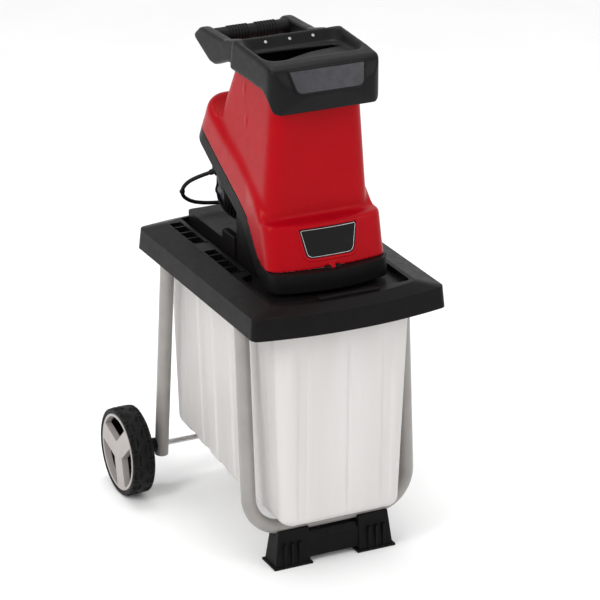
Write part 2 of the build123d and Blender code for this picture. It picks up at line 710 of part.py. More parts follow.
below_seam = cross_slab(seam_line(0.0) + [(260.0, 470.0), (-240.0, 470.0)])
band_low = seam_line(-BAND_T)
band_low[0] = (-240.0, SEAM_Z - 33.0)
band_low[1] = (band_low[1][0], SEAM_Z - 33.0)
band_slab = cross_slab(seam_line(0.0) + band_low[::-1])
bowl_slab = cross_slab(seam_line(6.0) + [(y, z) for y, z in seam_line(-BAND_T + WALL)][::-1])

with BuildPart() as base_housing:
    add(housing_form(0.0))
    add(band_slab, mode=Mode.INTERSECT)
    with BuildSketch(Plane.XY.offset(TRAY_FLOOR_Z + BASE_TOP_GAP)):
        with Locations((0, (CHUTE_FRONT_Y + BACK_FLOOR_Y) / 2)):
            RectangleRounded(2 * CHUTE_HALF, BACK_FLOOR_Y - CHUTE_FRONT_Y, 8.0)
    extrude(amount=120.0)
    add(below_seam, mode=Mode.INTERSECT)
    with BuildSketch(cutter_plane(-BAND_T)):
        with Locations((0, LOCK_V)):
            Circle(LOCK_LUG_R)
        with Locations((0, LOCK_V - 13.0)):
            Rectangle(2 * LOCK_LUG_R, 26.0)
    extrude(amount=BAND_T)
    with BuildPart(mode=Mode.PRIVATE) as bowl:
        add(housing_form(WALL, 0.0, COVER_SETBACK - 1.0, COVER_BOW))
        add(bowl_slab, mode=Mode.INTERSECT)
    add(bowl.part, mode=Mode.SUBTRACT)
    with BuildSketch(Plane.XY.offset(TRAY_FLOOR_Z - 5.0)):
        with Locations((0, (CHUTE_FRONT_Y + BACK_FLOOR_Y) / 2)):
            RectangleRounded(2 * (CHUTE_HALF - WALL), BACK_FLOOR_Y - CHUTE_FRONT_Y - 2 * WALL, 5.0)
    extrude(amount=105.0, mode=Mode.SUBTRACT)
    with BuildSketch(cutter_plane(-BAND_T)):
        Circle(BOSS_R)
    extrude(amount=SPINDLE_BEARING_T + WALL + 1.0)
    with BuildSketch(cutter_plane(BEARING_H[0])):
        Circle(SPINDLE_BEARING_R)
    extrude(amount=60.0, mode=Mode.SUBTRACT)
    with BuildSketch(cutter_plane(-BAND_T - 5.0)):
        Circle(SHAFT_D / 2 + 2.0)
        with Locations((0, LOCK_V)):
            Circle(STUD_R + 1.0)
    extrude(amount=60.0, mode=Mode.SUBTRACT)
    with BuildSketch(cutter_plane(-BAND_T)):
        with Locations((0, LOCK_V)):
            RegularPolygon(NUT_R + FIT, 6)
    extrude(amount=NUT_T + FIT, mode=Mode.SUBTRACT)
    with BuildSketch(side_plane(-1.5 * KNUCKLE_L)):
        with Locations((HINGE_Y, HINGE_Z)):
            Circle(KNUCKLE_R)
        with Locations((HINGE_Y, HINGE_Z - 3.0)):
            Rectangle(2 * KNUCKLE_R, 6.0)
    extrude(amount=3 * KNUCKLE_L)
    with BuildSketch(side_plane(-KNUCKLE_L / 2 - KNUCKLE_GAP)):
        with Locations((HINGE_Y, HINGE_Z)):
            Circle(KNUCKLE_R + KNUCKLE_GAP)
        with Locations((HINGE_Y + 4.0, HINGE_Z + 4.0)):
            Rectangle(8.0 + 2 * KNUCKLE_R, 8.0)
    extrude(amount=KNUCKLE_L + 2 * KNUCKLE_GAP, mode=Mode.SUBTRACT)
    with BuildSketch(side_plane(-1.5 * KNUCKLE_L)):
        with Locations((HINGE_Y, HINGE_Z)):
            Circle(HINGE_PIN_R)
    extrude(amount=3 * KNUCKLE_L, mode=Mode.SUBTRACT)
keep(base_housing.part, "base_housing")

COVER_EDGE_R = 8.0
BADGE_T = 2.0
BADGE_PROUD = 0.4              # the badge stands out of its recess by this
BADGE_Z = (549.0, 597.5)
BADGE_HALF = (43.0, 53.0)
cover_front_y = HOUSING_FRONT_Y + COVER_SETBACK - COVER_BOW
badge_lean = degrees(atan(COVER_FRONT_LEAN))
cover_top = [(-240.0, SHOULDER_Z), (-132.0, SHOULDER_Z), (-106.0, SHOULDER_Z + 30.0),
             (-70.0, SHOULDER_Z + 50.0), (-30.0, SHOULDER_Z + 74.0)]
cover_top += plane_points(COVER_TOP_H, -5.0, 230.0)
cover_slab = cross_slab(seam_line(BASE_TOP_GAP) + cover_top[::-1])
hollow_slab = cross_slab(seam_line(-6.0) + moved_line(cover_top, -WALL)[::-1])
above_seam = cross_slab(seam_line(BASE_TOP_GAP) + [(260.0, 950.0), (-240.0, 950.0)])
above_bowl = cross_slab(seam_line(-6.0) + [(260.0, 950.0), (-240.0, 950.0)])


def badge_plane(z, out):
    """A plane on the cover's leaning front at height z, out in front of it."""
    lean = radians(badge_lean)
    y = cover_front_y + (z - SEAM_Z) * COVER_FRONT_LEAN
    return Plane(origin=(0, y - out * cos(lean), z + out * sin(lean)), x_dir=(1, 0, 0),
                 z_dir=(0, -cos(lean), sin(lean)))


def badge_block(grow, out, depth):
    """The badge's tapering outline, grown by grow, from out in front of the cover inwards."""
    half_h = (BADGE_Z[1] - BADGE_Z[0]) / 2 / cos(radians(badge_lean)) + grow
    low, high = BADGE_HALF[0] + grow, BADGE_HALF[1] + grow
    with BuildPart() as block:
        with BuildSketch(badge_plane(sum(BADGE_Z) / 2, out)) as face:
            with BuildLine():
                Polyline((-low, -half_h), (low, -half_h), (high, half_h), (-high, half_h), close=True)
            make_face()
            fillet(face.vertices().sort_by(Axis.Y)[:2], 12.0)
            fillet(face.vertices().sort_by(Axis.Y)[-2:], 3.0)
        extrude(amount=-depth)
    return block.part


def is_cover_top_edge(edge):
    """True for the edges along the top of the cover's sides and round its back."""
    place = edge.center()
    if place.Y > HOUSING_TAPER_Y + 120.0 and (place - cutter_point(0, 0, COVER_TOP_H)).dot(
            Vector(0, -SIN_T, COS_T)) > -0.5:
        return True
    over_seam = place.Z - CUTTER_Z - (place.Y - CUTTER_Y) * SIN_T / COS_T
    return (abs(place.X) > 90.0 and edge.length > 12.0 and abs(edge.tangent_at(0.5).Y) > 0.3
            and over_seam > 20.0 and place.Y > -135.0)


with BuildPart() as cover_housing:
    add(housing_form(0.0, COVER_FRONT_LEAN, COVER_SETBACK, COVER_BOW))
    add(cover_slab, mode=Mode.INTERSECT)
    top_edges = cover_housing.edges().filter_by(is_cover_top_edge)
    fillet(top_edges, COVER_EDGE_R)
    with BuildPart(mode=Mode.PRIVATE) as tower_outer:
        add(tower_form(0.0, TOWER_TOP_Z))
        add(above_seam, mode=Mode.INTERSECT)
    add(tower_outer.part)
    with BuildPart(mode=Mode.PRIVATE) as cover_hollow:
        add(housing_form(WALL, COVER_FRONT_LEAN, COVER_SETBACK, COVER_BOW))
        add(hollow_slab, mode=Mode.INTERSECT)
        with BuildPart(mode=Mode.PRIVATE) as tower_inner:
            add(tower_form(WALL, TOWER_TOP_Z + 20.0))
            add(above_bowl, mode=Mode.INTERSECT)
        add(tower_inner.part)
    add(cover_hollow.part, mode=Mode.SUBTRACT)
    with BuildSketch(cutter_plane(BASE_TOP_GAP)):
        with Locations((0, LOCK_V)):
            Circle(LOCK_LUG_R)
        with Locations((0, LOCK_V - 11.5)):
            Rectangle(2 * LOCK_LUG_R, 23.0)
    extrude(amount=LOCK_LUG_T)
    with BuildSketch(cutter_plane(0.0)):
        with Locations((0, LOCK_V)):
            Circle(STUD_R + 0.4)
    extrude(amount=LOCK_LUG_T + 5.0, mode=Mode.SUBTRACT)
    # the wall clears the outer knuckles as the cover swings
    with BuildSketch(side_plane(-1.5 * KNUCKLE_L - KNUCKLE_GAP)):
        with Locations((HINGE_Y, HINGE_Z)):
            Circle(KNUCKLE_R + KNUCKLE_GAP)
    extrude(amount=3 * KNUCKLE_L + 2 * KNUCKLE_GAP, mode=Mode.SUBTRACT)
    with BuildSketch(side_plane(-KNUCKLE_L / 2)):
        with Locations((HINGE_Y, HINGE_Z)):
            Circle(KNUCKLE_R)
        with Locations((HINGE_Y + 3.0, HINGE_Z + 3.5)):
            Rectangle(6.0, 7.0)
    extrude(amount=KNUCKLE_L)
    with BuildSketch(side_plane(-KNUCKLE_L)):
        with Locations((HINGE_Y, HINGE_Z)):
            Circle(HINGE_PIN_R + RUN)
    extrude(amount=2 * KNUCKLE_L, mode=Mode.SUBTRACT)
    with BuildPart(mode=Mode.PRIVATE) as badge_recess:
        add(badge_block(FIT, 30.0, 60.0))
        add(housing_form(BADGE_T - BADGE_PROUD, COVER_FRONT_LEAN, COVER_SETBACK, COVER_BOW),
            mode=Mode.SUBTRACT)
    add(badge_recess.part, mode=Mode.SUBTRACT)
keep(cover_housing.part, "cover_housing")

with BuildPart() as badge_plate:
    add(badge_block(0.0, 30.0, 60.0))
    add(housing_form(-BADGE_PROUD, COVER_FRONT_LEAN, COVER_SETBACK, COVER_BOW),
        mode=Mode.INTERSECT)
    add(housing_form(BADGE_T - BADGE_PROUD, COVER_FRONT_LEAN, COVER_SETBACK, COVER_BOW),
        mode=Mode.SUBTRACT)
keep(badge_plate.part, "badge_plate")

with BuildPart() as hinge_pin:
    with BuildSketch(side_plane(-1.5 * KNUCKLE_L)):
        with Locations((HINGE_Y, HINGE_Z)):
            Circle(HINGE_PIN_R)
    extrude(amount=3 * KNUCKLE_L)
keep(hinge_pin.part, "hinge_pin")

# ---------------------------------------------------------------- lock knob
KNOB_R = 19.0
KNOB_L = 22.0
with BuildPart() as lock_knob:
    with BuildSketch(cutter_plane(BASE_TOP_GAP + LOCK_LUG_T + FIT)):
        with Locations((0, LOCK_V)):
            Circle(KNOB_R - 4.0)
    extrude(amount=5.0)
    with BuildSketch(cutter_plane(BASE_TOP_GAP + LOCK_LUG_T + FIT + 5.0)):
        with Locations((0, LOCK_V)):
            Circle(KNOB_R)
            with PolarLocations(KNOB_R + 2.0, 8):
                Circle(4.5, mode=Mode.SUBTRACT)
    extrude(amount=KNOB_L - 5.0)
    fillet(lock_knob.faces().sort_by(Axis((0, 0, 0), (0, -SIN_T, COS_T)))[-1].edges(), 1.5)
    with BuildSketch(cutter_plane(-NUT_T - 6.0)):
        with Locations((0, LOCK_V)):
            Circle(STUD_R)
    extrude(amount=NUT_T + 6.0 + LOCK_LUG_T + 2.0)
keep(lock_knob.part, "lock_knob")

with BuildPart() as lock_nut:
    with BuildSketch(cutter_plane(-BAND_T)):
        with Locations((0, LOCK_V)):
            RegularPolygon(NUT_R, 6)
            Circle(STUD_R + 0.5, mode=Mode.SUBTRACT)
    extrude(amount=NUT_T)
keep(lock_nut.part, "lock_nut")

# ================================================================ hopper and handle
HOPPER_WALL = 3.0
HOPPER_CEILING_Z = 861.0
DISH_FLOOR_Z = 867.0
HOPPER_SIDE = ((-168.0, 797.0), (-174.0, 819.0), (-178.0, 833.0), (-160.0, 871.0),
               (-150.0, 877.0), (-115.0, HOPPER_RIM_FRONT_Z), (-17.0, HOPPER_RIM_BACK_Z),
               (HOPPER_BACK_Y, 884.0), (2.0, 834.0), (-126.0, 832.0), (-147.0, 819.0),
               (-158.0, 801.0))
HOPPER_SCREW_X = (-44.0, 0.0, 43.0)
HOPPER_SCREW_L = 9.0
DISH_Y = -74.0                 # middle of the dish
DISH_FLOOR = (166.0, 84.0)     # width and length of its floor
DISH_RIM = (186.0, 122.0)      # and of its rim
dish_rise = HOPPER_RIM_BACK_Z + 2.0 - DISH_FLOOR_Z
dish_slope = atan2(dish_rise, (DISH_RIM[1] - DISH_FLOOR[1]) / 2)


def hopper_plan(z, inset):
    half, y_corner = HOPPER_HALF - inset, HOPPER_CORNER_Y + inset
    y_back = HOPPER_PLAN_BACK_Y - inset
    with BuildSketch(Plane.XY.offset(z)) as face:
        with BuildLine():
            ThreePointArc((-half, y_corner), (0, y_corner - HOPPER_BOW), (half, y_corner))
            Polyline((half, y_corner), (half, y_back), (-half, y_back), (-half, y_corner))
        make_face()
        fillet(face.vertices().sort_by(Axis.Y)[:2], 26.0 - inset)
        fillet(face.vertices().sort_by(Axis.Y)[-2:], 10.0 - inset)
    return face.sketch


def dish_wall_plane(x, out):
    """A plane on the dish's sloping rear wall, halfway up, out in front of it."""
    normal = Vector(0, -sin(dish_slope), cos(dish_slope))
    place = Vector(x, DISH_Y + (DISH_RIM[1] + DISH_FLOOR[1]) / 4, DISH_FLOOR_Z + dish_rise / 2)
    return Plane(origin=place + normal * out, x_dir=(1, 0, 0), z_dir=normal)


def slot_face(z, grow):
    """The feed slot: narrow on the right, widening to the left along S curves."""
    with BuildSketch(Plane.XY.offset(z)) as face:
        with BuildLine():
            Spline((66.0, -61.0 - grow), (20.0, -66.0 - grow), (-30.0, -86.0 - grow),
                   (-74.0, -96.0 - grow), tangents=((-1, 0), (-1, 0)))
            Line((-74.0, -96.0 - grow), (-74.0, -38.0 + grow))
            Spline((-74.0, -38.0 + grow), (0.0, -40.0 + grow), (66.0, -46.0 + grow),
                   tangents=((1, 0), (1, -0.1)))
            ThreePointArc((66.0, -46.0 + grow), (74.0 + grow, -53.5), (66.0, -61.0 - grow))
        make_face()
    return face.sketch


def handle_arm(side):
    """One arm of the handle, with softened edges."""
    middle = side * (ARM_IN_X + ARM_OUT_X) / 2
    with BuildPart() as arm:
        with BuildSketch(side_plane(middle - (ARM_OUT_X - ARM_IN_X) / 2)) as face:
            with BuildLine():
                Polyline((-12.0, 874.0), (-12.0, 842.0), (0.0, 834.0), (41.0, 832.0), (92.0, 812.0),
                         (112.0, 813.0), (172.0, 838.0), (174.0, 846.0), (152.0, 862.0),
                         (143.0, 864.0), (54.0, 866.0), (12.0, 878.0), close=True)
            make_face()
            fillet(face.vertices(), 3.0)
        extrude(amount=ARM_OUT_X - ARM_IN_X)
        fillet(arm.faces().filter_by(Axis.X).edges(), 2.5)
    return arm.part


hopper_hollow = [(y + HOPPER_WALL * 1.2, z) for y, z in HOPPER_SIDE[:3]]
hopper_hollow[0] = (hopper_hollow[0][0], 780.0)
hopper_hollow += [(-162.0, HOPPER_CEILING_Z), (-9.0, HOPPER_CEILING_Z), (-3.0, 780.0)]
with BuildPart() as hopper:
    add(hopper_plan(790.0, 0.0))
    extrude(amount=110.0)
    add(cross_slab(HOPPER_SIDE), mode=Mode.INTERSECT)
    rim_edges = hopper.edges().filter_by(lambda e: e.center().Z > 876.0)
    fillet(rim_edges, 4.0)
    with BuildPart(mode=Mode.PRIVATE) as hopper_room:
        add(hopper_plan(780.0, HOPPER_WALL))
        extrude(amount=HOPPER_CEILING_Z - 780.0)
        add(cross_slab(hopper_hollow), mode=Mode.INTERSECT)
    add(hopper_room.part, mode=Mode.SUBTRACT)
    # dish with sloping walls
    with BuildSketch(Plane.XY.offset(DISH_FLOOR_Z)):
        with Locations((0, DISH_Y)):
            RectangleRounded(*DISH_FLOOR, 18.0)
    with BuildSketch(Plane.XY.offset(HOPPER_RIM_BACK_Z + 2.0)):
        with Locations((0, DISH_Y)):
            RectangleRounded(*DISH_RIM, 22.0)
    loft(mode=Mode.SUBTRACT)
    add(slot_face(840.0, 0.0))
    extrude(amount=40.0, mode=Mode.SUBTRACT)
    for side in (-1, 1):
        add(handle_arm(side))
    # clearance round the tower's top
    with BuildPart(mode=Mode.PRIVATE) as tower_room:
        add(tower_form(-FIT, TOWER_TOP_Z + FIT))
    add(tower_room.part, mode=Mode.SUBTRACT)
    for x in HOPPER_SCREW_X:
        with BuildSketch(dish_wall_plane(x, 0.0)):
            Circle(1.4)
        extrude(amount=-HOPPER_SCREW_L, mode=Mode.SUBTRACT)
keep(hopper.part, "hopper")

GRIP_L = 2 * ARM_IN_X
with BuildPart() as handle_grip:
    with BuildSketch(side_plane(-ARM_IN_X)):
        with Locations((GRIP_Y, GRIP_Z)):
            Circle(GRIP_D / 2 - 1.5)
    extrude(amount=GRIP_L)
    for k in range(-3, 4):
        for group in (-1, 1):
            with BuildSketch(side_plane(group * 26.0 + k * 5.5 - 1.25)):
                with Locations((GRIP_Y, GRIP_Z)):
                    Circle(GRIP_D / 2)
            extrude(amount=2.5)
keep(handle_grip.part, "handle_grip")

PANEL_T = 2.0
panel_lean = atan2(160.0 - 178.0, 871.0 - 833.0)


def panel_plane(out):
    """A plane on the hopper's leaning front, out in front of it."""
    y, z = (-160.0 - 178.0) / 2, (871.0 + 833.0) / 2
    normal = Vector(0, -cos(panel_lean), -sin(panel_lean))
    origin = Vector(0, y, z) + normal * out
    return Plane(origin=origin, x_dir=(1, 0, 0), z_dir=normal)


with BuildPart() as hopper_panel:
    with BuildSketch(panel_plane(0.05)) as panel_face:
        with BuildLine():
            Polyline((-59.0, -19.0), (59.0, -19.0), (67.0, 18.0), (-67.0, 18.0), close=True)
        make_face()
        fillet(panel_face.vertices().sort_by(Axis.Y)[:2], 12.0)
    extrude(amount=PANEL_T)
keep(hopper_panel.part, "hopper_panel")

with BuildPart() as hopper_screws:
    for x in HOPPER_SCREW_X:
        with BuildSketch(dish_wall_plane(x, 0.05)):
            Circle(2.6)
        extrude(amount=1.1)
        with BuildSketch(dish_wall_plane(x, 0.05)):
            Circle(1.35)
        extrude(amount=-(HOPPER_SCREW_L - 0.5))
        with BuildSketch(dish_wall_plane(x, 0.5)):
            Rectangle(3.2, 0.7)
            Rectangle(0.7, 3.2)
        extrude(amount=1.0, mode=Mode.SUBTRACT)
keep(hopper_screws.part, "hopper_screws")

CHUTE_WALL = 2.5
CHUTE_TOP_Z = HOPPER_CEILING_Z - FIT
CHUTE_LOW_H = 18.0
CHUTE_TOP_W = 2 * (TOWER_HALF_TOP - WALL - 0.8)


def feed_form(inset, extra):
    with BuildPart() as form:
        with BuildSketch(Plane.XY.offset(CHUTE_TOP_Z + extra)):
            with Locations((0, -66.0)):
                RectangleRounded(CHUTE_TOP_W - 2 * inset, 84.0 - 2 * inset, 10.0 - inset)
        with BuildSketch(cutter_plane(CHUTE_LOW_H - extra)):
            with Locations((0, -26.0)):
                RectangleRounded(120.0 - 2 * inset, 88.0 - 2 * inset, 10.0 - inset)
        loft()
    return form.part


with BuildPart() as feed_chute:
    add(feed_form(0.0, 0.0))
    add(feed_form(CHUTE_WALL, 2.0), mode=Mode.SUBTRACT)
keep(feed_chute.part, "feed_chute")

# ================================================================ motor cover and drive
BELL_TOP_H = -BAND_T - FIT
BELL_WALL = 3.0
BELL_FLANGE_R = 93.0
BELL_FLANGE_T = 4.0
BELL_SCREW_R = 88.5
BELL_SCREW_TURNS = (20.0, 160.0, 60.0, 120.0)
GEARBOX_H = -66.0              # underside of the gearbox plate
GEARBOX_T = 6.0
GEAR_H = -54.0                 # underside of the big gear
GEAR_T = 10.0
MOTOR_BORE_R = 9.5             # outside of a motor bearing
MOTOR_SHAFT_R = 4.0
END_BOSS_H = BELL_END_H + 12.0
VENT_W, VENT_PITCH = 3.0, 6.5


def bell_radius(h):
    return BELL_TOP_R + (BELL_END_R - BELL_TOP_R) * (BELL_TOP_H - h) / (BELL_TOP_H - BELL_END_H)


def bell_form(inset, top_h, end_h):
    """The bell's tapering form moved in by inset, between two heights."""
    with BuildPart() as form:
        with BuildSketch(cutter_plane(top_h)):
            Circle(bell_radius(top_h) - inset)
        with BuildSketch(cutter_plane(end_h)):
            Circle(bell_radius(end_h) - inset)
        loft()
    return form.part


chute_side = cross_slab([(-200.0, 400.0), (BACK_FLOOR_Y + FIT, 400.0), (BACK_FLOOR_Y + FIT, 800.0),
                         (-200.0, 800.0)])
GLAND_AT = Vector(-72.0, 146.0, 600.0)         # mouth of the cord gland
GLAND_DIR = Vector(-20.4, 12.0, -10.0).normalized()
GLAND_L = 20.0
GLAND_R = 6.5
gland_plane = Plane(origin=GLAND_AT - GLAND_DIR * GLAND_L, z_dir=GLAND_DIR)
PANEL_U = -59.0
SIDE_PANEL_V, SIDE_PANEL_H = (-16.0, 24.0), (-120.0, -82.0)


def bell_side_plane(u):
    """A plane across X at u whose axes run up the seam plane and square off it."""
    return Plane(origin=cutter_point(u, 0, 0), x_dir=(0, COS_T, SIN_T), z_dir=(1, 0, 0))


def side_panel_block(grow, u, depth):
    with BuildPart() as block:
        with BuildSketch(bell_side_plane(u)):
            with Locations((sum(SIDE_PANEL_V) / 2, sum(SIDE_PANEL_H) / 2)):
                RectangleRounded(SIDE_PANEL_V[1] - SIDE_PANEL_V[0] + 2 * grow,
                                 SIDE_PANEL_H[1] - SIDE_PANEL_H[0] + 2 * grow, 3.0)
        extrude(amount=depth)
    return block.part


with BuildPart() as motor_cover:
    add(bell_form(0.0, BELL_TOP_H, BELL_END_H))
    fillet(motor_cover.edges().filter_by(GeomType.CIRCLE).sort_by(SortBy.RADIUS)[0], 5.0)
    with BuildSketch(cutter_plane(BELL_TOP_H)):
        Circle(BELL_FLANGE_R)
    extrude(amount=-BELL_FLANGE_T)
    with BuildSketch(bell_side_plane(PANEL_U - 4.0)):
        with Locations((sum(SIDE_PANEL_V) / 2, sum(SIDE_PANEL_H) / 2)):
            RectangleRounded(SIDE_PANEL_V[1] - SIDE_PANEL_V[0] + 6.0,
                             SIDE_PANEL_H[1] - SIDE_PANEL_H[0] + 6.0, 4.0)
    extrude(amount=8.0)
    add(bell_form(BELL_WALL, BELL_TOP_H + 0.01, BELL_END_H + BELL_WALL), mode=Mode.SUBTRACT)
    add(side_panel_block(0.0, -90.0, 42.0), mode=Mode.SUBTRACT)
    with BuildSketch(cutter_plane(BELL_END_H)):
        with Locations((0, MOTOR_V)):
            Circle(MOTOR_BORE_R + WALL)
    extrude(amount=END_BOSS_H - BELL_END_H)
    with BuildSketch(cutter_plane(BELL_END_H + BELL_WALL)):
        with Locations((0, MOTOR_V)):
            Circle(MOTOR_BORE_R)
    extrude(amount=20.0, mode=Mode.SUBTRACT)
    for k in range(7):
        with BuildSketch(cutter_plane(BELL_END_H - 1.0)):
            with Locations((0, 12.0 + VENT_PITCH * k)):
                Rectangle(64.0 - 5.0 * k, VENT_W)
        extrude(amount=BELL_WALL + 2.0, mode=Mode.SUBTRACT)
    for k in range(6):
        with BuildSketch(bell_side_plane(-120.0)):
            with Locations((-22.0 - VENT_PITCH * k, -112.0)):
                Rectangle(VENT_W, 22.0)
        extrude(amount=80.0, mode=Mode.SUBTRACT)
    add(chute_side, mode=Mode.SUBTRACT)
    with BuildSketch(gland_plane.offset(-8.0)):
        Circle(GLAND_R)
    extrude(amount=30.0, mode=Mode.SUBTRACT)
    with BuildSketch(cutter_plane(BELL_TOP_H + 1.0)):
        with Locations(*[(BELL_SCREW_R * cos(radians(a)), BELL_SCREW_R * sin(radians(a)))
                         for a in BELL_SCREW_TURNS]):
            Circle(1.9)
    extrude(amount=-12.0, mode=Mode.SUBTRACT)
keep(motor_cover.part.solids().sort_by(SortBy.VOLUME)[-1], "motor_cover")

with BuildPart() as motor_side_panel:
    add(side_panel_block(0.0, PANEL_U - 2.5, 2.0))
keep(motor_side_panel.part, "motor_side_panel")

with BuildPart() as cord_gland:
    with BuildSketch(gland_plane):
        Circle(GLAND_R)
    with BuildSketch(gland_plane.offset(GLAND_L)):
        Circle(4.8)
    loft()
    with BuildSketch(gland_plane.offset(9.0)):
        Circle(GLAND_R + 2.5)
    extrude(amount=2.5)
    add(motor_cover.part, mode=Mode.SUBTRACT)
keep(cord_gland.part, "cord_gland")


def turned(name, pieces, v):
    """A stack of coaxial rings (low, high, outer, inner radius) along the cutter axis at v."""
    with BuildPart() as stack:
        for low, high, outer, inner in pieces:
            with BuildSketch(cutter_plane(low)):
                with Locations((0, v)):
                    Circle(outer)
                    if inner:
                        Circle(inner, mode=Mode.SUBTRACT)
            extrude(amount=high - low)
    keep(stack.part, name)
    return stack.part


# gearbox plate hangs under the base floor on two posts
with BuildPart() as gearbox_plate:
    with BuildSketch(cutter_plane(GEARBOX_H)):
        with Locations((0, -8.0)):
            RectangleRounded(74.0, 84.0, 16.0)
        with Locations((0, MOTOR_V)):
            Circle(MOTOR_BORE_R, mode=Mode.SUBTRACT)
        Circle(SPINDLE_BEARING_R, mode=Mode.SUBTRACT)
    extrude(amount=GEARBOX_T)
    with BuildSketch(cutter_plane(GEARBOX_H + GEARBOX_T)):
        with Locations((-31.0, -8.0), (31.0, -8.0), (0, 29.0), (0, -45.0)):
            Circle(4.5)
    extrude(amount=BELL_TOP_H - GEARBOX_H - GEARBOX_T)
keep(gearbox_plate.part, "gearbox_plate")

# ---------------------------------------------------------------- gears
PRESSURE_ANGLE = radians(25.0)
BACKLASH = 0.16
GEAR_ADDENDUM = 0.9 * GEAR_MODULE
GEAR_DEDENDUM = 1.2 * GEAR_MODULE


def involute(angle):
    return tan(angle) - angle


def gear_face(plane, teeth, turn):
    """A spur gear's outline with involute flanks; turn is the angle of a tooth's middle."""
    pitch_r = GEAR_MODULE * teeth / 2
    base_r = pitch_r * cos(PRESSURE_ANGLE)
    root_r, tip_r = pitch_r - GEAR_DEDENDUM, pitch_r + GEAR_ADDENDUM
    half_pitch = pi / (2 * teeth) - BACKLASH / (2 * pitch_r) + involute(PRESSURE_ANGLE)
    flank = []
    for k in range(5):
        radius = max(base_r, root_r) + (tip_r - max(base_r, root_r)) * k / 4
        flank.append((radius, half_pitch - involute(acos(min(1.0, base_r / radius)))))
    if root_r < base_r:
        flank.insert(0, (root_r, flank[0][1]))
    points = []
    for tooth in range(teeth):
        middle = turn + 2 * pi * tooth / teeth
        for radius, half in flank:
            points.append((radius * cos(middle - half), radius * sin(middle - half)))
        for radius, half in flank[::-1]:
            points.append((radius * cos(middle + half), radius * sin(middle + half)))
    with BuildSketch(plane) as face:
        with BuildLine():
            Polyline(*points, close=True)
        make_face()
    return face.sketch


with BuildPart() as gear_wheel:
    extrude(gear_face(cutter_plane(GEAR_H), GEAR_TEETH, radians(-90.0)), amount=GEAR_T)
    with BuildSketch(cutter_plane(GEAR_H)):
        Circle(SHAFT_D / 2)
    extrude(amount=GEAR_T, mode=Mode.SUBTRACT)
keep(gear_wheel.part, "gear_wheel")

with BuildPart() as pinion:
    gap_turn = radians(90.0) + pi / PINION_TEETH
    extrude(gear_face(cutter_plane(GEAR_H - 1.0, MOTOR_V), PINION_TEETH, gap_turn),
            amount=GEAR_T + 2.0)
    with BuildSketch(cutter_plane(GEAR_H - 1.0, MOTOR_V)):
        Circle(MOTOR_SHAFT_R - 1.0)
    extrude(amount=GEAR_T + 2.0, mode=Mode.SUBTRACT)
keep(pinion.part, "pinion")

# ---------------------------------------------------------------- spindle, bearings, disc
NUT_H = DISC_H + DISC_T
turned("spindle", [(GEARBOX_H + 0.5, NUT_H + 9.0, SHAFT_D / 2, 0), (-BAND_T + 2.0, BEARING_H[0], 7.6, 0),
                   (BEARING_H[1] + 0.5, DISC_H, 9.0, 0)], 0.0)
turned("spindle_bearings", [(BEARING_H[0], BEARING_H[1], SPINDLE_BEARING_R, SHAFT_D / 2 + RUN),
                            (GEARBOX_H, GEARBOX_H + GEARBOX_T, SPINDLE_BEARING_R,
                             SHAFT_D / 2 + RUN)], 0.0)
STATOR_H = (-102.0, -74.0)
COMMUTATOR_H = (-112.0, -105.0)
SHAFT_LOW_H = BELL_END_H + BELL_WALL + 1.0
BUSH_H = (BELL_END_H + BELL_WALL, END_BOSS_H)
turned("motor_bearings", [(GEARBOX_H, GEARBOX_H + GEARBOX_T, MOTOR_BORE_R, MOTOR_SHAFT_R + RUN),
                          (BUSH_H[0], BUSH_H[1], MOTOR_BORE_R, MOTOR_SHAFT_R + RUN)], MOTOR_V)
turned("motor_stator", [(STATOR_H[0], STATOR_H[1], STATOR_R, ROTOR_R + 0.6),
                        (STATOR_H[1], GEARBOX_H, STATOR_R, STATOR_R - 3.0)], MOTOR_V)
with BuildPart() as motor_shaft:
    with BuildSketch(cutter_plane(SHAFT_LOW_H, MOTOR_V)):
        Circle(MOTOR_SHAFT_R)
    extrude(amount=GEARBOX_H + GEARBOX_T + 1.0 - SHAFT_LOW_H)
    with BuildSketch(cutter_plane(GEARBOX_H + GEARBOX_T, MOTOR_V)):
        Circle(MOTOR_SHAFT_R - 1.0)
    extrude(amount=GEAR_H + GEAR_T + 3.0 - GEARBOX_H - GEARBOX_T)
keep(motor_shaft.part, "motor_shaft")
turned("motor_rotor", [(STATOR_H[0], STATOR_H[1], ROTOR_R, MOTOR_SHAFT_R)], MOTOR_V)
turned("commutator", [(COMMUTATOR_H[0], COMMUTATOR_H[1], 11.0, MOTOR_SHAFT_R)], MOTOR_V)

with BuildPart() as motor_brushes:
    for side in (-1, 1):
        with BuildSketch(bell_side_plane(side * 17.5 - 6.0)):
            with Locations((MOTOR_V, sum(COMMUTATOR_H) / 2)):
                Rectangle(6.0, 5.0)
        extrude(amount=12.0)
    for side in (-1, 1):
        with BuildSketch(cutter_plane(END_BOSS_H)):
            with Locations((side * 20.0, MOTOR_V)):
                Rectangle(8.0, 9.0)
        extrude(amount=COMMUTATOR_H[1] + 1.0 - END_BOSS_H)
keep(motor_brushes.part, "motor_brushes")

FAN_H = (-72.0, -68.0)
with BuildPart() as cooling_fan:
    with BuildSketch(cutter_plane(FAN_H[0], MOTOR_V)):
        Circle(STATOR_R - 4.5)
        Circle(MOTOR_SHAFT_R, mode=Mode.SUBTRACT)
    extrude(amount=1.2)
    with BuildSketch(cutter_plane(FAN_H[0], MOTOR_V)):
        Circle(9.0)
        with PolarLocations(18.0, 9):
            Rectangle(20.0, 1.4)
        Circle(MOTOR_SHAFT_R, mode=Mode.SUBTRACT)
    extrude(amount=FAN_H[1] - FAN_H[0])
keep(cooling_fan.part, "cooling_fan")

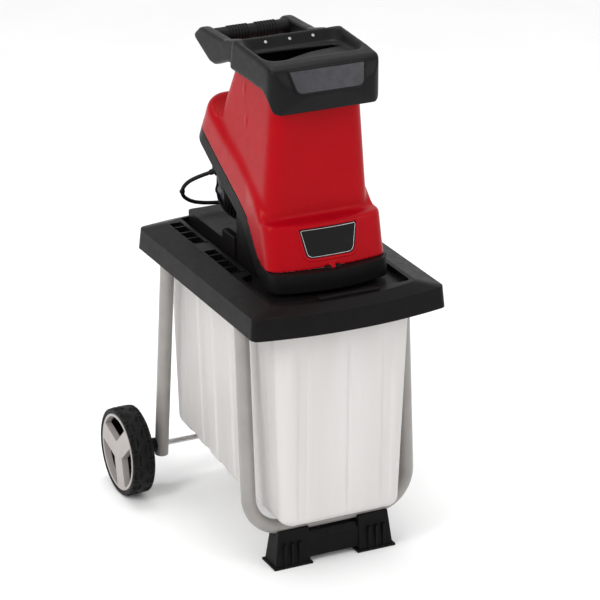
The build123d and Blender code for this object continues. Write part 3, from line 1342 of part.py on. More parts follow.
BLADE_SLOT_W = 14.0
with BuildPart() as cutting_disc:
    with BuildSketch(cutter_plane(DISC_H)):
        Circle(DISC_R)
        Circle(SHAFT_D / 2, mode=Mode.SUBTRACT)
        for turn in (0.0, 180.0):
            with Locations(Location((0, 0), turn)):
                with Locations((48.0, -13.0)):
                    SlotOverall(56.0, BLADE_SLOT_W)
    extrude(amount=DISC_T)
keep(cutting_disc.part, "cutting_disc")

BLADE_T = 4.0
BLADE_SCREWS = (32.0, 62.0)
with BuildPart() as blades:
    with BuildSketch(cutter_plane(DISC_H + DISC_T)):
        for turn in (0.0, 180.0):
            with Locations(Location((0, 0), turn)):
                with Locations((47.0, 8.0)):
                    Rectangle(62.0, 26.0)
                    with Locations((-15.0, 2.0), (15.0, 2.0)):
                        Circle(2.6, mode=Mode.SUBTRACT)
    extrude(amount=BLADE_T)
    chamfer(blades.edges().filter_by(lambda e: e.length > 61.0).group_by(
        lambda e: round((e.center() - cutter_point(0, 0, DISC_H + DISC_T)).dot(
            Vector(0, -SIN_T, COS_T)), 1))[-1], 1.5)
keep(blades.part, "blades")

with BuildPart() as blade_screws:
    for side in (-1, 1):
        for u in BLADE_SCREWS:
            spot = (side * u, side * 10.0)
            with BuildSketch(cutter_plane(DISC_H + DISC_T)):
                with Locations(spot):
                    Circle(2.5)
            extrude(amount=BLADE_T + 0.5)
            with BuildSketch(cutter_plane(DISC_H + DISC_T + BLADE_T)):
                with Locations(spot):
                    Circle(4.2)
                    RegularPolygon(2.2, 6, mode=Mode.SUBTRACT)
            extrude(amount=2.4)
keep(blade_screws.part, "blade_screws")

with BuildPart() as disc_nut:
    with BuildSketch(cutter_plane(NUT_H)):
        RegularPolygon(10.0, 6)
        Circle(SHAFT_D / 2, mode=Mode.SUBTRACT)
    extrude(amount=7.0)
keep(disc_nut.part, "disc_nut")

with BuildPart() as bell_screws:
    for a in BELL_SCREW_TURNS:
        spot = (BELL_SCREW_R * cos(radians(a)), BELL_SCREW_R * sin(radians(a)))
        with BuildSketch(cutter_plane(BELL_TOP_H - BELL_FLANGE_T)):
            with Locations(spot):
                Circle(3.4)
        extrude(amount=-2.4)
        with BuildSketch(cutter_plane(BELL_TOP_H - BELL_FLANGE_T)):
            with Locations(spot):
                Circle(1.8)
        extrude(amount=BELL_FLANGE_T + FIT)
keep(bell_screws.part, "bell_screws")

# ================================================================ switch box and buttons
SWITCH_V, SWITCH_H = (-24.0, 24.0), (-104.0, -44.0)
SWITCH_U = (56.0, 91.0)
BUTTON_TRAVEL = 3.0
BUTTON_OUT = BUTTON_TRAVEL + 2.0    # still proud when pressed
BUTTON_IN = 6.5                # how far a button reaches in, short of the bell when pressed
BUTTON_HOLE = 13.0
BUTTONS = (("start_button", 0.0, -56.0, 8.0), ("stop_button", 0.0, -76.0, 8.0),
           ("overload_button", 0.0, -93.0, 4.0))
with BuildPart() as switch_box:
    with BuildSketch(bell_side_plane(SWITCH_U[0])):
        with Locations((sum(SWITCH_V) / 2, sum(SWITCH_H) / 2)):
            RectangleRounded(SWITCH_V[1] - SWITCH_V[0], SWITCH_H[1] - SWITCH_H[0], 8.0)
    extrude(amount=SWITCH_U[1] - SWITCH_U[0])
    fillet(switch_box.faces().sort_by(Axis.X)[-1].edges(), 2.5)
    add(bell_form(-RUN, BELL_TOP_H, BELL_END_H), mode=Mode.SUBTRACT)
    for name, v, h, radius in BUTTONS:
        with BuildSketch(bell_side_plane(SWITCH_U[1] - BUTTON_HOLE)):
            with Locations((v, h)):
                Circle(radius + FIT)
        extrude(amount=30.0, mode=Mode.SUBTRACT)
keep(switch_box.part, "switch_box")

for name, v, h, radius in BUTTONS:
    with BuildPart() as button:
        with BuildSketch(bell_side_plane(SWITCH_U[1] - BUTTON_IN)):
            with Locations((v, h)):
                Circle(radius)
        extrude(amount=BUTTON_IN + BUTTON_OUT)
        fillet(button.faces().sort_by(Axis.X)[-1].edges(), 1.2)
    keep(button.part, name)

# ================================================================ rear deck
DECK_TOP_Z = 515.0
DECK_HALF = 90.0
DECK_Y = (BACK_FLOOR_Y + 1.0, 207.0)
DECK_BLOCK_TOP_Z = 530.0
with BuildPart() as rear_deck:
    with BuildSketch(Plane.XY.offset(TRAY_FLOOR_Z)):
        with Locations((0, sum(DECK_Y) / 2)):
            RectangleRounded(2 * DECK_HALF, DECK_Y[1] - DECK_Y[0], 10.0)
    extrude(amount=DECK_TOP_Z - TRAY_FLOOR_Z)
    with BuildSketch(Plane.XY.offset(TRAY_FLOOR_Z)):
        for side in (-1, 1):
            with Locations((side * (DECK_HALF - 7.0), 34.0)):
                RectangleRounded(14.0, 50.0, 3.0)
    extrude(amount=DECK_BLOCK_TOP_Z - TRAY_FLOOR_Z)
    chamfer(rear_deck.faces().filter_by(Axis.Z).sort_by(Axis.Z)[-1].edges(), 1.5)
    with BuildSketch(Plane.XY.offset(TRAY_FLOOR_Z - 1.0)):
        with Locations((0, sum(DECK_Y) / 2)):
            RectangleRounded(2 * DECK_HALF - 2 * WALL, DECK_Y[1] - DECK_Y[0] - 2 * WALL, 8.0)
    extrude(amount=DECK_TOP_Z - WALL - TRAY_FLOOR_Z + 1.0, mode=Mode.SUBTRACT)
keep(rear_deck.part, "rear_deck")

# ================================================================ cord, tie and plug
CORD_D = 7.0
TIE_W = 2.5
CORD_ROUTE = (
    tuple(GLAND_AT), (-99.0, 158.0, 590.0), (-113.0, 171.0, 572.0), (-109.0, 183.0, 551.0),
    (-87.0, 191.0, 534.0), (-60.0, 192.5, 527.0), (-33.0, 187.5, 525.5), (-9.0, 177.0, 527.5),
    (13.0, 170.0, 529.0),
)


def cord_tube(route, diameter):
    """A tube along straight runs joined by tangent arcs; returns the part and its length."""
    points = [Vector(*point) for point in route]
    edges = []
    start = points[0]
    for before, corner, after in zip(points, points[1:], points[2:]):
        run_in, run_out = (corner - before), (after - corner)
        turn = radians(run_in.get_angle(run_out))
        cut = 0.45 * min(run_in.length, run_out.length)
        radius = cut / tan(turn / 2)
        arc_start = corner - run_in.normalized() * cut
        arc_end = corner + run_out.normalized() * cut
        inward = (run_out.normalized() - run_in.normalized()).normalized()
        middle = corner + inward * (radius / cos(turn / 2) - radius)
        edges.append(Edge.make_line(start, arc_start))
        edges.append(Edge.make_three_point_arc(arc_start, middle, arc_end))
        start = arc_end
    edges.append(Edge.make_line(start, points[-1]))
    path = Wire(edges)
    with BuildPart() as tube:
        with BuildSketch(Plane(origin=points[0], z_dir=points[1] - points[0])):
            Circle(diameter / 2)
        sweep(path=path)
    return tube.part, path.length


cord_part, cord_length = cord_tube(CORD_ROUTE, CORD_D)
print(f"cord length {cord_length:.1f} volume ratio "
      f"{cord_part.volume / (pi * CORD_D ** 2 / 4 * cord_length):.4f}")
keep(cord_part, "power_cord")

tie_at = (Vector(*CORD_ROUTE[2]) + Vector(*CORD_ROUTE[3])) * 0.5
tie_dir = (Vector(*CORD_ROUTE[3]) - Vector(*CORD_ROUTE[2])).normalized()
with BuildPart() as cord_tie:
    with BuildSketch(Plane(origin=tie_at - tie_dir * TIE_W / 2, z_dir=tie_dir)):
        Circle(CORD_D / 2 + 1.4)
        Circle(CORD_D / 2 + RUN, mode=Mode.SUBTRACT)
    extrude(amount=TIE_W)
keep(cord_tie.part, "cord_tie")

PLUG_R, PLUG_L = 13.5, 38.0
plug_at = Vector(*CORD_ROUTE[-1])
plug_dir = (Vector(*CORD_ROUTE[-1]) - Vector(*CORD_ROUTE[-2]))
plug_plane = Plane(origin=plug_at, z_dir=plug_dir)
with BuildPart() as plug_body:
    with BuildSketch(plug_plane):
        Circle(5.0)
    with BuildSketch(plug_plane.offset(14.0)):
        Circle(PLUG_R - 2.0)
    loft()
    with BuildSketch(plug_plane.offset(14.0)):
        Circle(PLUG_R)
    extrude(amount=PLUG_L - 14.0)
keep(plug_body.part, "plug_body")

with BuildPart() as plug_pins:
    with BuildSketch(plug_plane.offset(PLUG_L)):
        with Locations((-6.0, 0), (6.0, 0)):
            Circle(2.2)
    extrude(amount=15.0)
    fillet(plug_pins.faces().group_by(lambda f: round((f.center() - plug_at).length, 0))[-1].edges(), 1.0)
keep(plug_pins.part, "plug_pins")
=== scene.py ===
"""Looks of the garden wood chipper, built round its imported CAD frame. Metres, +Z up, front towards -Y."""

import json
import math

import bmesh
import bpy
import numpy as np
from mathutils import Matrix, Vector


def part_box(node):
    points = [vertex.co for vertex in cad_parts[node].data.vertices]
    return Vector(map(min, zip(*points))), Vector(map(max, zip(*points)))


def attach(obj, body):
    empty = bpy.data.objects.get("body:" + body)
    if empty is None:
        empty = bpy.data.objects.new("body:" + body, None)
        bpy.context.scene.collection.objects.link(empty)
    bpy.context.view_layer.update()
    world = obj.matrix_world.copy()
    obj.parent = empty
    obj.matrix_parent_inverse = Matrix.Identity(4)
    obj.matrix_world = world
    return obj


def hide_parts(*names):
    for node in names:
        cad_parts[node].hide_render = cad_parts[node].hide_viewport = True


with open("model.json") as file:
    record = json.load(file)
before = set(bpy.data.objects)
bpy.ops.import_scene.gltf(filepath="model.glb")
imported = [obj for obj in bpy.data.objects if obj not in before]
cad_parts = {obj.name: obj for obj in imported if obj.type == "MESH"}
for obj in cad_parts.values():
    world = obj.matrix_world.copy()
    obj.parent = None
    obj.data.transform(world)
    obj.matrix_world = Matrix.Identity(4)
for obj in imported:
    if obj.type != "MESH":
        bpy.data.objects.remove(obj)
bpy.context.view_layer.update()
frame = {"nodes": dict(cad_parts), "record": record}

MM = 0.001


# ---------------------------------------------------------------- materials
def shader(name):
    """A new node material; returns it with its tree, shader node and coordinate node."""
    material = bpy.data.materials.new(name)
    material.use_nodes = True
    tree = material.node_tree
    return material, tree, tree.nodes["Principled BSDF"], tree.nodes.new("ShaderNodeTexCoord")


def add_noise(tree, coord, scale, detail=4.0, rough=0.55, stretch=(1, 1, 1)):
    mapping = tree.nodes.new("ShaderNodeMapping")
    mapping.inputs["Scale"].default_value = stretch
    texture = tree.nodes.new("ShaderNodeTexNoise")
    texture.inputs["Scale"].default_value = scale
    texture.inputs["Detail"].default_value = detail
    texture.inputs["Roughness"].default_value = rough
    tree.links.new(coord.outputs["Object"], mapping.inputs["Vector"])
    tree.links.new(mapping.outputs["Vector"], texture.inputs["Vector"])
    return texture


def ramp(tree, source, low, high, low_at=0.35, high_at=0.65):
    node = tree.nodes.new("ShaderNodeValToRGB")
    node.color_ramp.elements[0].position = low_at
    node.color_ramp.elements[1].position = high_at
    node.color_ramp.elements[0].color = low
    node.color_ramp.elements[1].color = high
    tree.links.new(source, node.inputs["Fac"])
    return node


def grey(value):
    return (value, value, value, 1.0)


def moulded(name, color, rough, grain=0.12, grain_scale=1400.0, spread=0.12, coat=0.0,
            specular=0.13, wear=0.25, bevel=0.9, tint=(1.0, 1.0, 1.0)):
    """Moulded plastic: a fine spark-eroded grain, faint mottling, and lighter rubbed edges."""
    material, tree, bsdf, coord = shader(name)
    links = tree.links
    mottle = add_noise(tree, coord, 26.0, 6.0, 0.6)
    low = tuple(c * (1 - spread) for c in color) + (1.0,)
    high = tuple(min(1.0, c * (1 + spread)) for c in color) + (1.0,)
    tone = ramp(tree, mottle.outputs["Fac"], low, high)
    geometry = tree.nodes.new("ShaderNodeNewGeometry")
    rubbed = ramp(tree, geometry.outputs["Pointiness"], grey(0.0), grey(wear), 0.52, 0.60)
    mix = tree.nodes.new("ShaderNodeMix")
    mix.data_type = "RGBA"
    mix.inputs["B"].default_value = tuple(min(1.0, c * 1.8 + 0.03) for c in color) + (1.0,)
    links.new(rubbed.outputs["Color"], mix.inputs["Factor"])
    links.new(tone.outputs["Color"], mix.inputs["A"])
    links.new(mix.outputs["Result"], bsdf.inputs["Base Color"])
    sheen_map = add_noise(tree, coord, 60.0, 5.0, 0.7)
    roughness = ramp(tree, sheen_map.outputs["Fac"], grey(max(0.02, rough - 0.05)),
                     grey(min(1.0, rough + 0.06)))
    links.new(roughness.outputs["Color"], bsdf.inputs["Roughness"])
    fine = add_noise(tree, coord, grain_scale, 2.0, 0.5)
    bump = tree.nodes.new("ShaderNodeBump")
    bump.inputs["Strength"].default_value = grain
    bump.inputs["Distance"].default_value = 0.0003
    soft = tree.nodes.new("ShaderNodeBevel")
    soft.samples = 4
    soft.inputs["Radius"].default_value = bevel * MM
    links.new(soft.outputs["Normal"], bump.inputs["Normal"])
    links.new(fine.outputs["Fac"], bump.inputs["Height"])
    links.new(bump.outputs["Normal"], bsdf.inputs["Normal"])
    bsdf.inputs["Specular IOR Level"].default_value = specular
    bsdf.inputs["Specular Tint"].default_value = (*tint, 1.0)
    bsdf.inputs["Coat Weight"].default_value = coat
    bsdf.inputs["Coat Roughness"].default_value = 0.08
    return material


def metal(name, color, rough, stretch=(1, 1, 1), scratch=0.15):
    """Machined steel with fine drawn marks."""
    material, tree, bsdf, coord = shader(name)
    marks = add_noise(tree, coord, 900.0, 3.0, 0.6, stretch)
    tone = ramp(tree, marks.outputs["Fac"], tuple(c * 0.8 for c in color) + (1.0,),
                tuple(min(1.0, c * 1.1) for c in color) + (1.0,))
    tree.links.new(tone.outputs["Color"], bsdf.inputs["Base Color"])
    roughness = ramp(tree, marks.outputs["Fac"], grey(rough * 0.8), grey(min(1.0, rough * 1.3)))
    tree.links.new(roughness.outputs["Color"], bsdf.inputs["Roughness"])
    bump = tree.nodes.new("ShaderNodeBump")
    bump.inputs["Strength"].default_value = scratch
    bump.inputs["Distance"].default_value = 0.0002
    tree.links.new(marks.outputs["Fac"], bump.inputs["Height"])
    tree.links.new(bump.outputs["Normal"], bsdf.inputs["Normal"])
    bsdf.inputs["Metallic"].default_value = 1.0
    return material


def frosted(name):
    """The box's milky translucent plastic: light passes and blurs, with faint flow streaks."""
    material, tree, bsdf, coord = shader(name)
    streaks = add_noise(tree, coord, 14.0, 5.0, 0.6, (1.0, 1.0, 0.12))
    tone = ramp(tree, streaks.outputs["Fac"], (0.74, 0.72, 0.70, 1), (0.82, 0.805, 0.79, 1), 0.25, 0.75)
    tree.links.new(tone.outputs["Color"], bsdf.inputs["Base Color"])
    cloud = add_noise(tree, coord, 45.0, 4.0, 0.6)
    roughness = ramp(tree, cloud.outputs["Fac"], grey(0.32), grey(0.46))
    tree.links.new(roughness.outputs["Color"], bsdf.inputs["Roughness"])
    fine = add_noise(tree, coord, 420.0, 3.0, 0.5)
    bump = tree.nodes.new("ShaderNodeBump")
    bump.inputs["Strength"].default_value = 0.10
    bump.inputs["Distance"].default_value = 0.0004
    tree.links.new(fine.outputs["Fac"], bump.inputs["Height"])
    tree.links.new(bump.outputs["Normal"], bsdf.inputs["Normal"])
    through = tree.nodes.new("ShaderNodeBsdfTranslucent")
    mix = tree.nodes.new("ShaderNodeMixShader")
    mix.inputs["Fac"].default_value = 0.35
    tree.links.new(tone.outputs["Color"], through.inputs["Color"])
    tree.links.new(bump.outputs["Normal"], through.inputs["Normal"])
    tree.links.new(bsdf.outputs["BSDF"], mix.inputs[1])
    tree.links.new(through.outputs["BSDF"], mix.inputs[2])
    tree.links.new(mix.outputs["Shader"], tree.nodes["Material Output"].inputs["Surface"])
    return material


RED = moulded("red_gloss", (0.325, 0.0006, 0.0065), 0.33, grain=0.010, spread=0.03, wear=0.0,
              bevel=0.5, specular=0.17, tint=(1.0, 0.45, 0.28))
BLACK = moulded("tray_black", (0.0055, 0.0048, 0.0048), 0.34, grain=0.10, wear=0.03, bevel=1.5,
                specular=0.07)
HOPPER = moulded("hopper_black", (0.0050, 0.0050, 0.0056), 0.38, grain=0.10, grain_scale=1100.0,
                 wear=0.0, bevel=0.5, specular=0.12)
MOTOR = moulded("motor_black", (0.0042, 0.0042, 0.0046), 0.42, grain=0.15, wear=0.03, bevel=1.2,
                specular=0.07)
FOOT = moulded("foot_black", (0.0050, 0.0046, 0.0046), 0.45, grain=0.15, wear=0.04, bevel=1.2,
               specular=0.08)
GLOSSY = moulded("panel_gloss", (0.012, 0.011, 0.016), 0.24, grain=0.05, grain_scale=300.0, wear=0.0,
                 bevel=0.5, specular=0.30)
BADGE = moulded("badge_gloss", (0.0025, 0.0025, 0.003), 0.16, grain=0.02, wear=0.0, bevel=0.5,
                specular=0.2)
GRIP = moulded("grip_rubber", (0.006, 0.006, 0.006), 0.5, grain=0.25, wear=0.03, bevel=0.6)
TUBE = moulded("tube_paint", (0.255, 0.242, 0.229), 0.34, grain=0.08, grain_scale=700.0, spread=0.06,
               wear=0.08, coat=0.15, bevel=0.3, specular=0.45)
BOX = frosted("box_frosted")
WHEEL = moulded("wheel_grey", (0.345, 0.315, 0.303), 0.42, grain=0.10, spread=0.05, wear=0.10,
                bevel=0.8, specular=0.3)
TYRE = moulded("tyre_rubber", (0.0075, 0.007, 0.007), 0.55, grain=0.35, grain_scale=900.0, wear=0.04,
               bevel=0.3)
STEEL = metal("bright_steel", (0.62, 0.61, 0.60), 0.26)
CORE = metal("laminations", (0.30, 0.30, 0.31), 0.5, (1, 1, 9))
COPPER = metal("copper", (0.72, 0.38, 0.22), 0.3)
KNOB = moulded("knob_black", (0.008, 0.008, 0.008), 0.4, bevel=0.8)
GREEN = moulded("button_green", (0.01, 0.26, 0.04), 0.3, grain=0.05, bevel=0.6)
STOP_RED = moulded("button_red", (0.55, 0.01, 0.01), 0.3, grain=0.05, bevel=0.6)
JACKET = moulded("cord_rubber", (0.006, 0.006, 0.006), 0.42, grain=0.2, wear=0.0, bevel=0.2)
SILVER = metal("silver_print", (0.60, 0.60, 0.61), 0.3)

LOOKS = {
    "red_plastic": RED, "black_plastic": BLACK, "hopper_plastic": HOPPER, "motor_plastic": MOTOR,
    "panel_plastic": GLOSSY, "grip_rubber": GRIP, "painted_tube": TUBE, "box_plastic": BOX,
    "wheel_grey": WHEEL, "tyre_rubber": TYRE, "steel": STEEL, "core_steel": CORE, "copper": COPPER,
    "knob_plastic": KNOB, "green_plastic": GREEN, "red_button_plastic": STOP_RED,
    "cord_jacket": JACKET,
}
OWN_LOOKS = {"badge_plate": BADGE, "front_foot": FOOT, "axle_spacers": FOOT, "left_wheel_core": FOOT,
             "right_wheel_core": FOOT}


def paint_frame():
    """Every CAD node gets the material of its slot, or its own where it has one."""
    for entry in frame["record"]["subparts"]:
        node = frame["nodes"][entry["node"]]
        look = OWN_LOOKS.get(entry["node"], LOOKS[entry["material_slot"]])
        node.data.materials.clear()
        node.data.materials.append(look)


paint_frame()


# ---------------------------------------------------------------- mesh helpers
def new_piece(name, mesh, look, body):
    piece = bpy.data.objects.new(name, mesh)
    bpy.context.collection.objects.link(piece)
    mesh.materials.clear()
    mesh.materials.append(look)
    for polygon in mesh.polygons:
        polygon.use_smooth = True
    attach(piece, body)
    return piece


def grid_mesh(name, rows, columns, point, wrap_rows=False, wrap_columns=False):
    """A mesh of quads over point(i, j); either direction can close on itself."""
    vertices = [point(i, j) for i in range(rows) for j in range(columns)]
    faces = []
    for i in range(rows if wrap_rows else rows - 1):
        for j in range(columns if wrap_columns else columns - 1):
            i2, j2 = (i + 1) % rows, (j + 1) % columns
            faces.append((i * columns + j, i * columns + j2, i2 * columns + j2, i2 * columns + j))
    mesh = bpy.data.meshes.new(name)
    mesh.from_pydata(vertices, [], faces)
    mesh.update()
    return mesh


def smoothstep(low, high, value):
    t = min(1.0, max(0.0, (value - low) / (high - low)))
    return t * t * (3 - 2 * t)


# ---------------------------------------------------------------- softened shells
BUMP_HALF_Y, BUMP_HALF_Z = 0.0042, 0.0095
BUMP_OUT = 0.0011
BUMP_SIDE_X = -0.05             # bumps rise only on the side beyond this


def soften(node, name, look, body, voxel, passes, share, bumps=()):
    """A new piece: the node's shape remeshed, then smoothed where share(places) is above 0."""
    mesh = frame["nodes"][node].data.copy()
    raw = bpy.data.objects.new(name + "_raw", mesh)
    bpy.context.collection.objects.link(raw)
    remesh = raw.modifiers.new("remesh", "REMESH")
    remesh.mode = "VOXEL"
    remesh.voxel_size = voxel
    remesh.adaptivity = 0.0
    bpy.context.view_layer.update()
    fine = bpy.data.meshes.new_from_object(raw.evaluated_get(bpy.context.evaluated_depsgraph_get()))
    bpy.data.objects.remove(raw)
    count = len(fine.vertices)
    places = np.zeros(count * 3)
    fine.vertices.foreach_get("co", places)
    places = places.reshape(-1, 3)
    ends = np.zeros(len(fine.edges) * 2, dtype=np.int64)
    fine.edges.foreach_get("vertices", ends)
    ends = ends.reshape(-1, 2)
    degree = np.bincount(ends.ravel(), minlength=count).astype(float)
    weight = 0.5 * share(places)[:, None]
    for _ in range(passes):
        total = np.zeros_like(places)
        for axis in range(3):
            total[:, axis] = (np.bincount(ends[:, 0], places[ends[:, 1], axis], count)
                              + np.bincount(ends[:, 1], places[ends[:, 0], axis], count))
        places += weight * (total / degree[:, None] - places)
    for y, z in bumps:
        spot = ((places[:, 1] - y) / BUMP_HALF_Y) ** 2 + ((places[:, 2] - z) / BUMP_HALF_Z) ** 2
        places[:, 0] -= np.where(places[:, 0] < BUMP_SIDE_X, BUMP_OUT * np.exp(-spot), 0.0)
    fine.vertices.foreach_set("co", places.ravel())
    fine.update()
    fine.name = name
    piece = new_piece(name, fine, look, body)
    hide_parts(node)
    return piece


def ramped(low, high, values):
    t = np.clip((values - low) / (high - low), 0.0, 1.0)
    return t * t * (3 - 2 * t)


SEAM_AT = Vector((0, 64, 661)) * MM
TILT = math.radians(28.7)
# the seam from the front to its sloping stretch, as (y, z)
SEAM_LINE = ((-0.240, 0.531), (-0.140, 0.531), (-0.112, 0.541), (-0.092, 0.560), (-0.060, 0.591),
             (-0.030, 0.611))


def above_seam(places):
    """How far each place stands above the seam between base and cover."""
    slope = SEAM_AT.z + (places[:, 1] - SEAM_AT.y) * math.tan(TILT)
    level = np.interp(places[:, 1], [y for y, z in SEAM_LINE], [z for y, z in SEAM_LINE])
    return places[:, 2] - np.where(places[:, 1] < SEAM_LINE[-1][0], level, slope)


# where the cover's smoothing fades in or out, as (start, end) of each fade
EDGE_FADE = (0.004, 0.016)
BADGE_FADE_X, BADGE_FADE_Y, BADGE_FADE_Z = (0.054, 0.062), (-0.165, -0.155), (0.599, 0.606)
NECK_FADE = (0.825, 0.84)


def cover_share(places):
    """Smooth the cover's outside, but not its lower edge, badge recess or neck."""
    x, y, z = places.T
    badge = (1 - ramped(*BADGE_FADE_X, np.abs(x))) * (1 - ramped(*BADGE_FADE_Z, z))
    badge *= 1 - ramped(*BADGE_FADE_Y, y)
    return ramped(*EDGE_FADE, above_seam(places)) * (1 - badge) * (1 - ramped(*NECK_FADE, z))


def hopper_share(places):
    return np.ones(len(places))


# two small bumps one above the other on the tower's left side, spaced along its leaning height
tower_low, tower_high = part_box("cover_housing")
BUMP_Y_SHARE, BUMP_Z_SHARE = 0.42, 0.70
BUMP_STEP = Vector((0, 0.0136, 0.051))
first_bump = Vector((0, tower_low[1] + BUMP_Y_SHARE * (tower_high[1] - tower_low[1]),
                     tower_low[2] + BUMP_Z_SHARE * (tower_high[2] - tower_low[2])))
TOWER_BUMPS = tuple((spot.y, spot.z) for spot in (first_bump, first_bump + BUMP_STEP))
soften("cover_housing", "cover_shell", RED, "cover", 1.7 * MM, 46, cover_share,
       TOWER_BUMPS)
soften("hopper", "hopper_shell", HOPPER, "cover", 1.5 * MM, 22, hopper_share)


# ---------------------------------------------------------------- tyres
TREAD_BLOCKS = 17
TREAD_DEPTH = 3.4 * MM
TYRE_WALL = 10.0 * MM
TREAD_SHARE = 0.93             # of the tyre's width, the part with tread
CROWN_DROP = 1.6 * MM
TREAD_STEPS, TYRE_STEPS = 36, 440


def tread_depth(turn, across, half):
    """How deep the tread is cut at a place: oval and three-cornered pockets between bars."""
    phase = (turn / (2 * math.pi) * TREAD_BLOCKS) % 1.0
    side = 1 if across > 0 else -1
    if side < 0:
        phase = (phase + 0.5) % 1.0
    w = abs(across) / half
    oval = ((phase - 0.5) / 0.33) ** 2 + ((w - 0.70) / 0.20) ** 2
    deep = 1.0 - smoothstep(0.75, 1.1, oval)
    edge = abs(phase - 0.5) - 0.34 * smoothstep(0.02, 0.42, w)
    wedge = (1.0 - smoothstep(-0.05, 0.02, edge)) * (1.0 - smoothstep(0.38, 0.44, w))
    wedge *= smoothstep(0.04, 0.10, w)
    slot = (1.0 - smoothstep(0.03, 0.07, min(phase, 1 - phase))) * smoothstep(0.45, 0.55, w)
    return max(deep, wedge, 0.8 * slot)


def make_tyre(body):
    low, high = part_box(f"{body}_tyre")
    middle = (Vector(low) + Vector(high)) / 2
    half = (high[0] - low[0]) / 2
    outer = (high[2] - low[2]) / 2
    inner = outer - TYRE_WALL
    profile = []
    for k in range(TREAD_STEPS + 1):
        x = half * (2 * k / TREAD_STEPS - 1) * TREAD_SHARE
        crown = outer - CROWN_DROP * (x / half) ** 4
        profile.append((x, crown, True))
    shoulder = [(half, outer - 4.0 * MM), (half, inner + 4.5 * MM), (half - 1.2 * MM, inner + 1.2 * MM),
                (half - 2.5 * MM, inner)]
    profile += [(x, r, False) for x, r in shoulder]
    profile += [(-x, r, False) for x, r in shoulder[::-1]]

    def point(i, j):
        turn = 2 * math.pi * i / TYRE_STEPS
        x, radius, tread = profile[j]
        if tread:
            radius -= TREAD_DEPTH * tread_depth(turn, x, half)
        return (middle.x + x, middle.y + radius * math.cos(turn), middle.z + radius * math.sin(turn))

    mesh = grid_mesh(f"{body}_treaded_tyre", TYRE_STEPS, len(profile), point, True, True)
    fix_normals(mesh)
    tyre = new_piece(f"{body}_treaded_tyre", mesh, TYRE, body)
    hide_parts(f"{body}_tyre")


def fix_normals(mesh):
    shape = bmesh.new()
    shape.from_mesh(mesh)
    bmesh.ops.remove_doubles(shape, verts=shape.verts, dist=1e-6)
    bmesh.ops.recalc_face_normals(shape, faces=shape.faces)
    shape.to_mesh(mesh)
    shape.free()


make_tyre("left_wheel")
make_tyre("right_wheel")


# ---------------------------------------------------------------- badge and panel trim
def rounded(corners, radii, steps=10):
    """A closed outline through 2-D corners, each rounded with its radius."""
    points = []
    for k, (x, y) in enumerate(corners):
        here = Vector((x, y))
        into = (Vector(corners[k - 1]) - here).normalized()
        out = (Vector(corners[(k + 1) % len(corners)]) - here).normalized()
        half = into.angle(out) / 2
        reach = radii[k] / math.tan(half)
        centre = here + (into + out).normalized() * (radii[k] / math.sin(half))
        start, end = here + into * reach - centre, here + out * reach - centre
        first = math.atan2(start.y, start.x)
        sweep = (math.atan2(end.y, end.x) - first + math.pi) % (2 * math.pi) - math.pi
        for j in range(steps + 1):
            angle = first + sweep * j / steps
            points.append(centre + Vector((math.cos(angle), math.sin(angle))) * radii[k])
    return filled(points, 2.5 * MM)


def filled(points, gap):
    """The same outline with points added, so that none stand further apart than gap."""
    dense = []
    for k, here in enumerate(points):
        ahead = points[(k + 1) % len(points)]
        count = max(1, math.ceil((ahead - here).length / gap))
        dense += [here.lerp(ahead, j / count) for j in range(count)]
    return dense


def bead(name, places, radius, flat, look, body, outwards):
    """A closed bead round places, pressed flat along outwards."""
    count, sides = len(places), 10
    points = [Vector(place) for place in places]

    def point(i, j):
        along = (points[(i + 1) % count] - points[i - 1]).normalized()
        across = along.cross(outwards).normalized()
        turn = 2 * math.pi * j / sides
        return points[i] + across * radius * math.cos(turn) + outwards * flat * math.sin(turn)

    mesh = grid_mesh(name, count, sides, point, True, True)
    fix_normals(mesh)
    return new_piece(name, mesh, look, body)


FRONT_ARC_R = 0.4391           # the cover's front bows on this radius
FRONT_Y, FRONT_LEAN, SEAM_Z = -0.186, 0.237, 0.531
lean = math.atan(FRONT_LEAN)
front_out = Vector((0, -math.cos(lean), math.sin(lean)))


def on_cover_front(x, z, out):
    bow = FRONT_ARC_R - math.sqrt(FRONT_ARC_R ** 2 - x ** 2)
    return Vector((x, FRONT_Y + bow + (z - SEAM_Z) * FRONT_LEAN, z)) + front_out * out


badge_low, badge_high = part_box("badge_plate")
trim = rounded(((-0.0408, badge_low.z + 0.0024), (0.0408, badge_low.z + 0.0024),
                (0.0502, badge_high.z - 0.0024), (-0.0502, badge_high.z - 0.0024)),
               (0.0100, 0.0100, 0.0024, 0.0024))
bead("badge_trim", [on_cover_front(x, z, 0.00045) for x, z in trim], 0.00045, 0.00025, SILVER,
     "cover", front_out)
surround = rounded(((-0.0455, badge_low.z - 0.0028), (0.0455, badge_low.z - 0.0028),
                    (0.0560, badge_high.z + 0.0028), (-0.0560, badge_high.z + 0.0028)),
                   (0.0140, 0.0140, 0.0050, 0.0050))
bead("badge_surround", [on_cover_front(x, z, -0.0002) for x, z in surround], 0.0030, 0.0012, RED,
     "cover", front_out)

PANEL_AT = Vector((0, -0.169, 0.852))
PANEL_OUT = Vector((0, -0.9037, 0.4281))
PANEL_UP = Vector((0, 0.4281, 0.9037))
frame_line = rounded(((-0.0595, -0.0203), (0.0595, -0.0203), (0.0684, 0.0192), (-0.0684, 0.0192)),
                     (0.0130, 0.0130, 0.0030, 0.0030))
bead("panel_frame", [PANEL_AT + Vector((x, 0, 0)) + PANEL_UP * y + PANEL_OUT * 0.0004
                     for x, y in frame_line], 0.0022, 0.0021, HOPPER, "cover",
     PANEL_OUT)


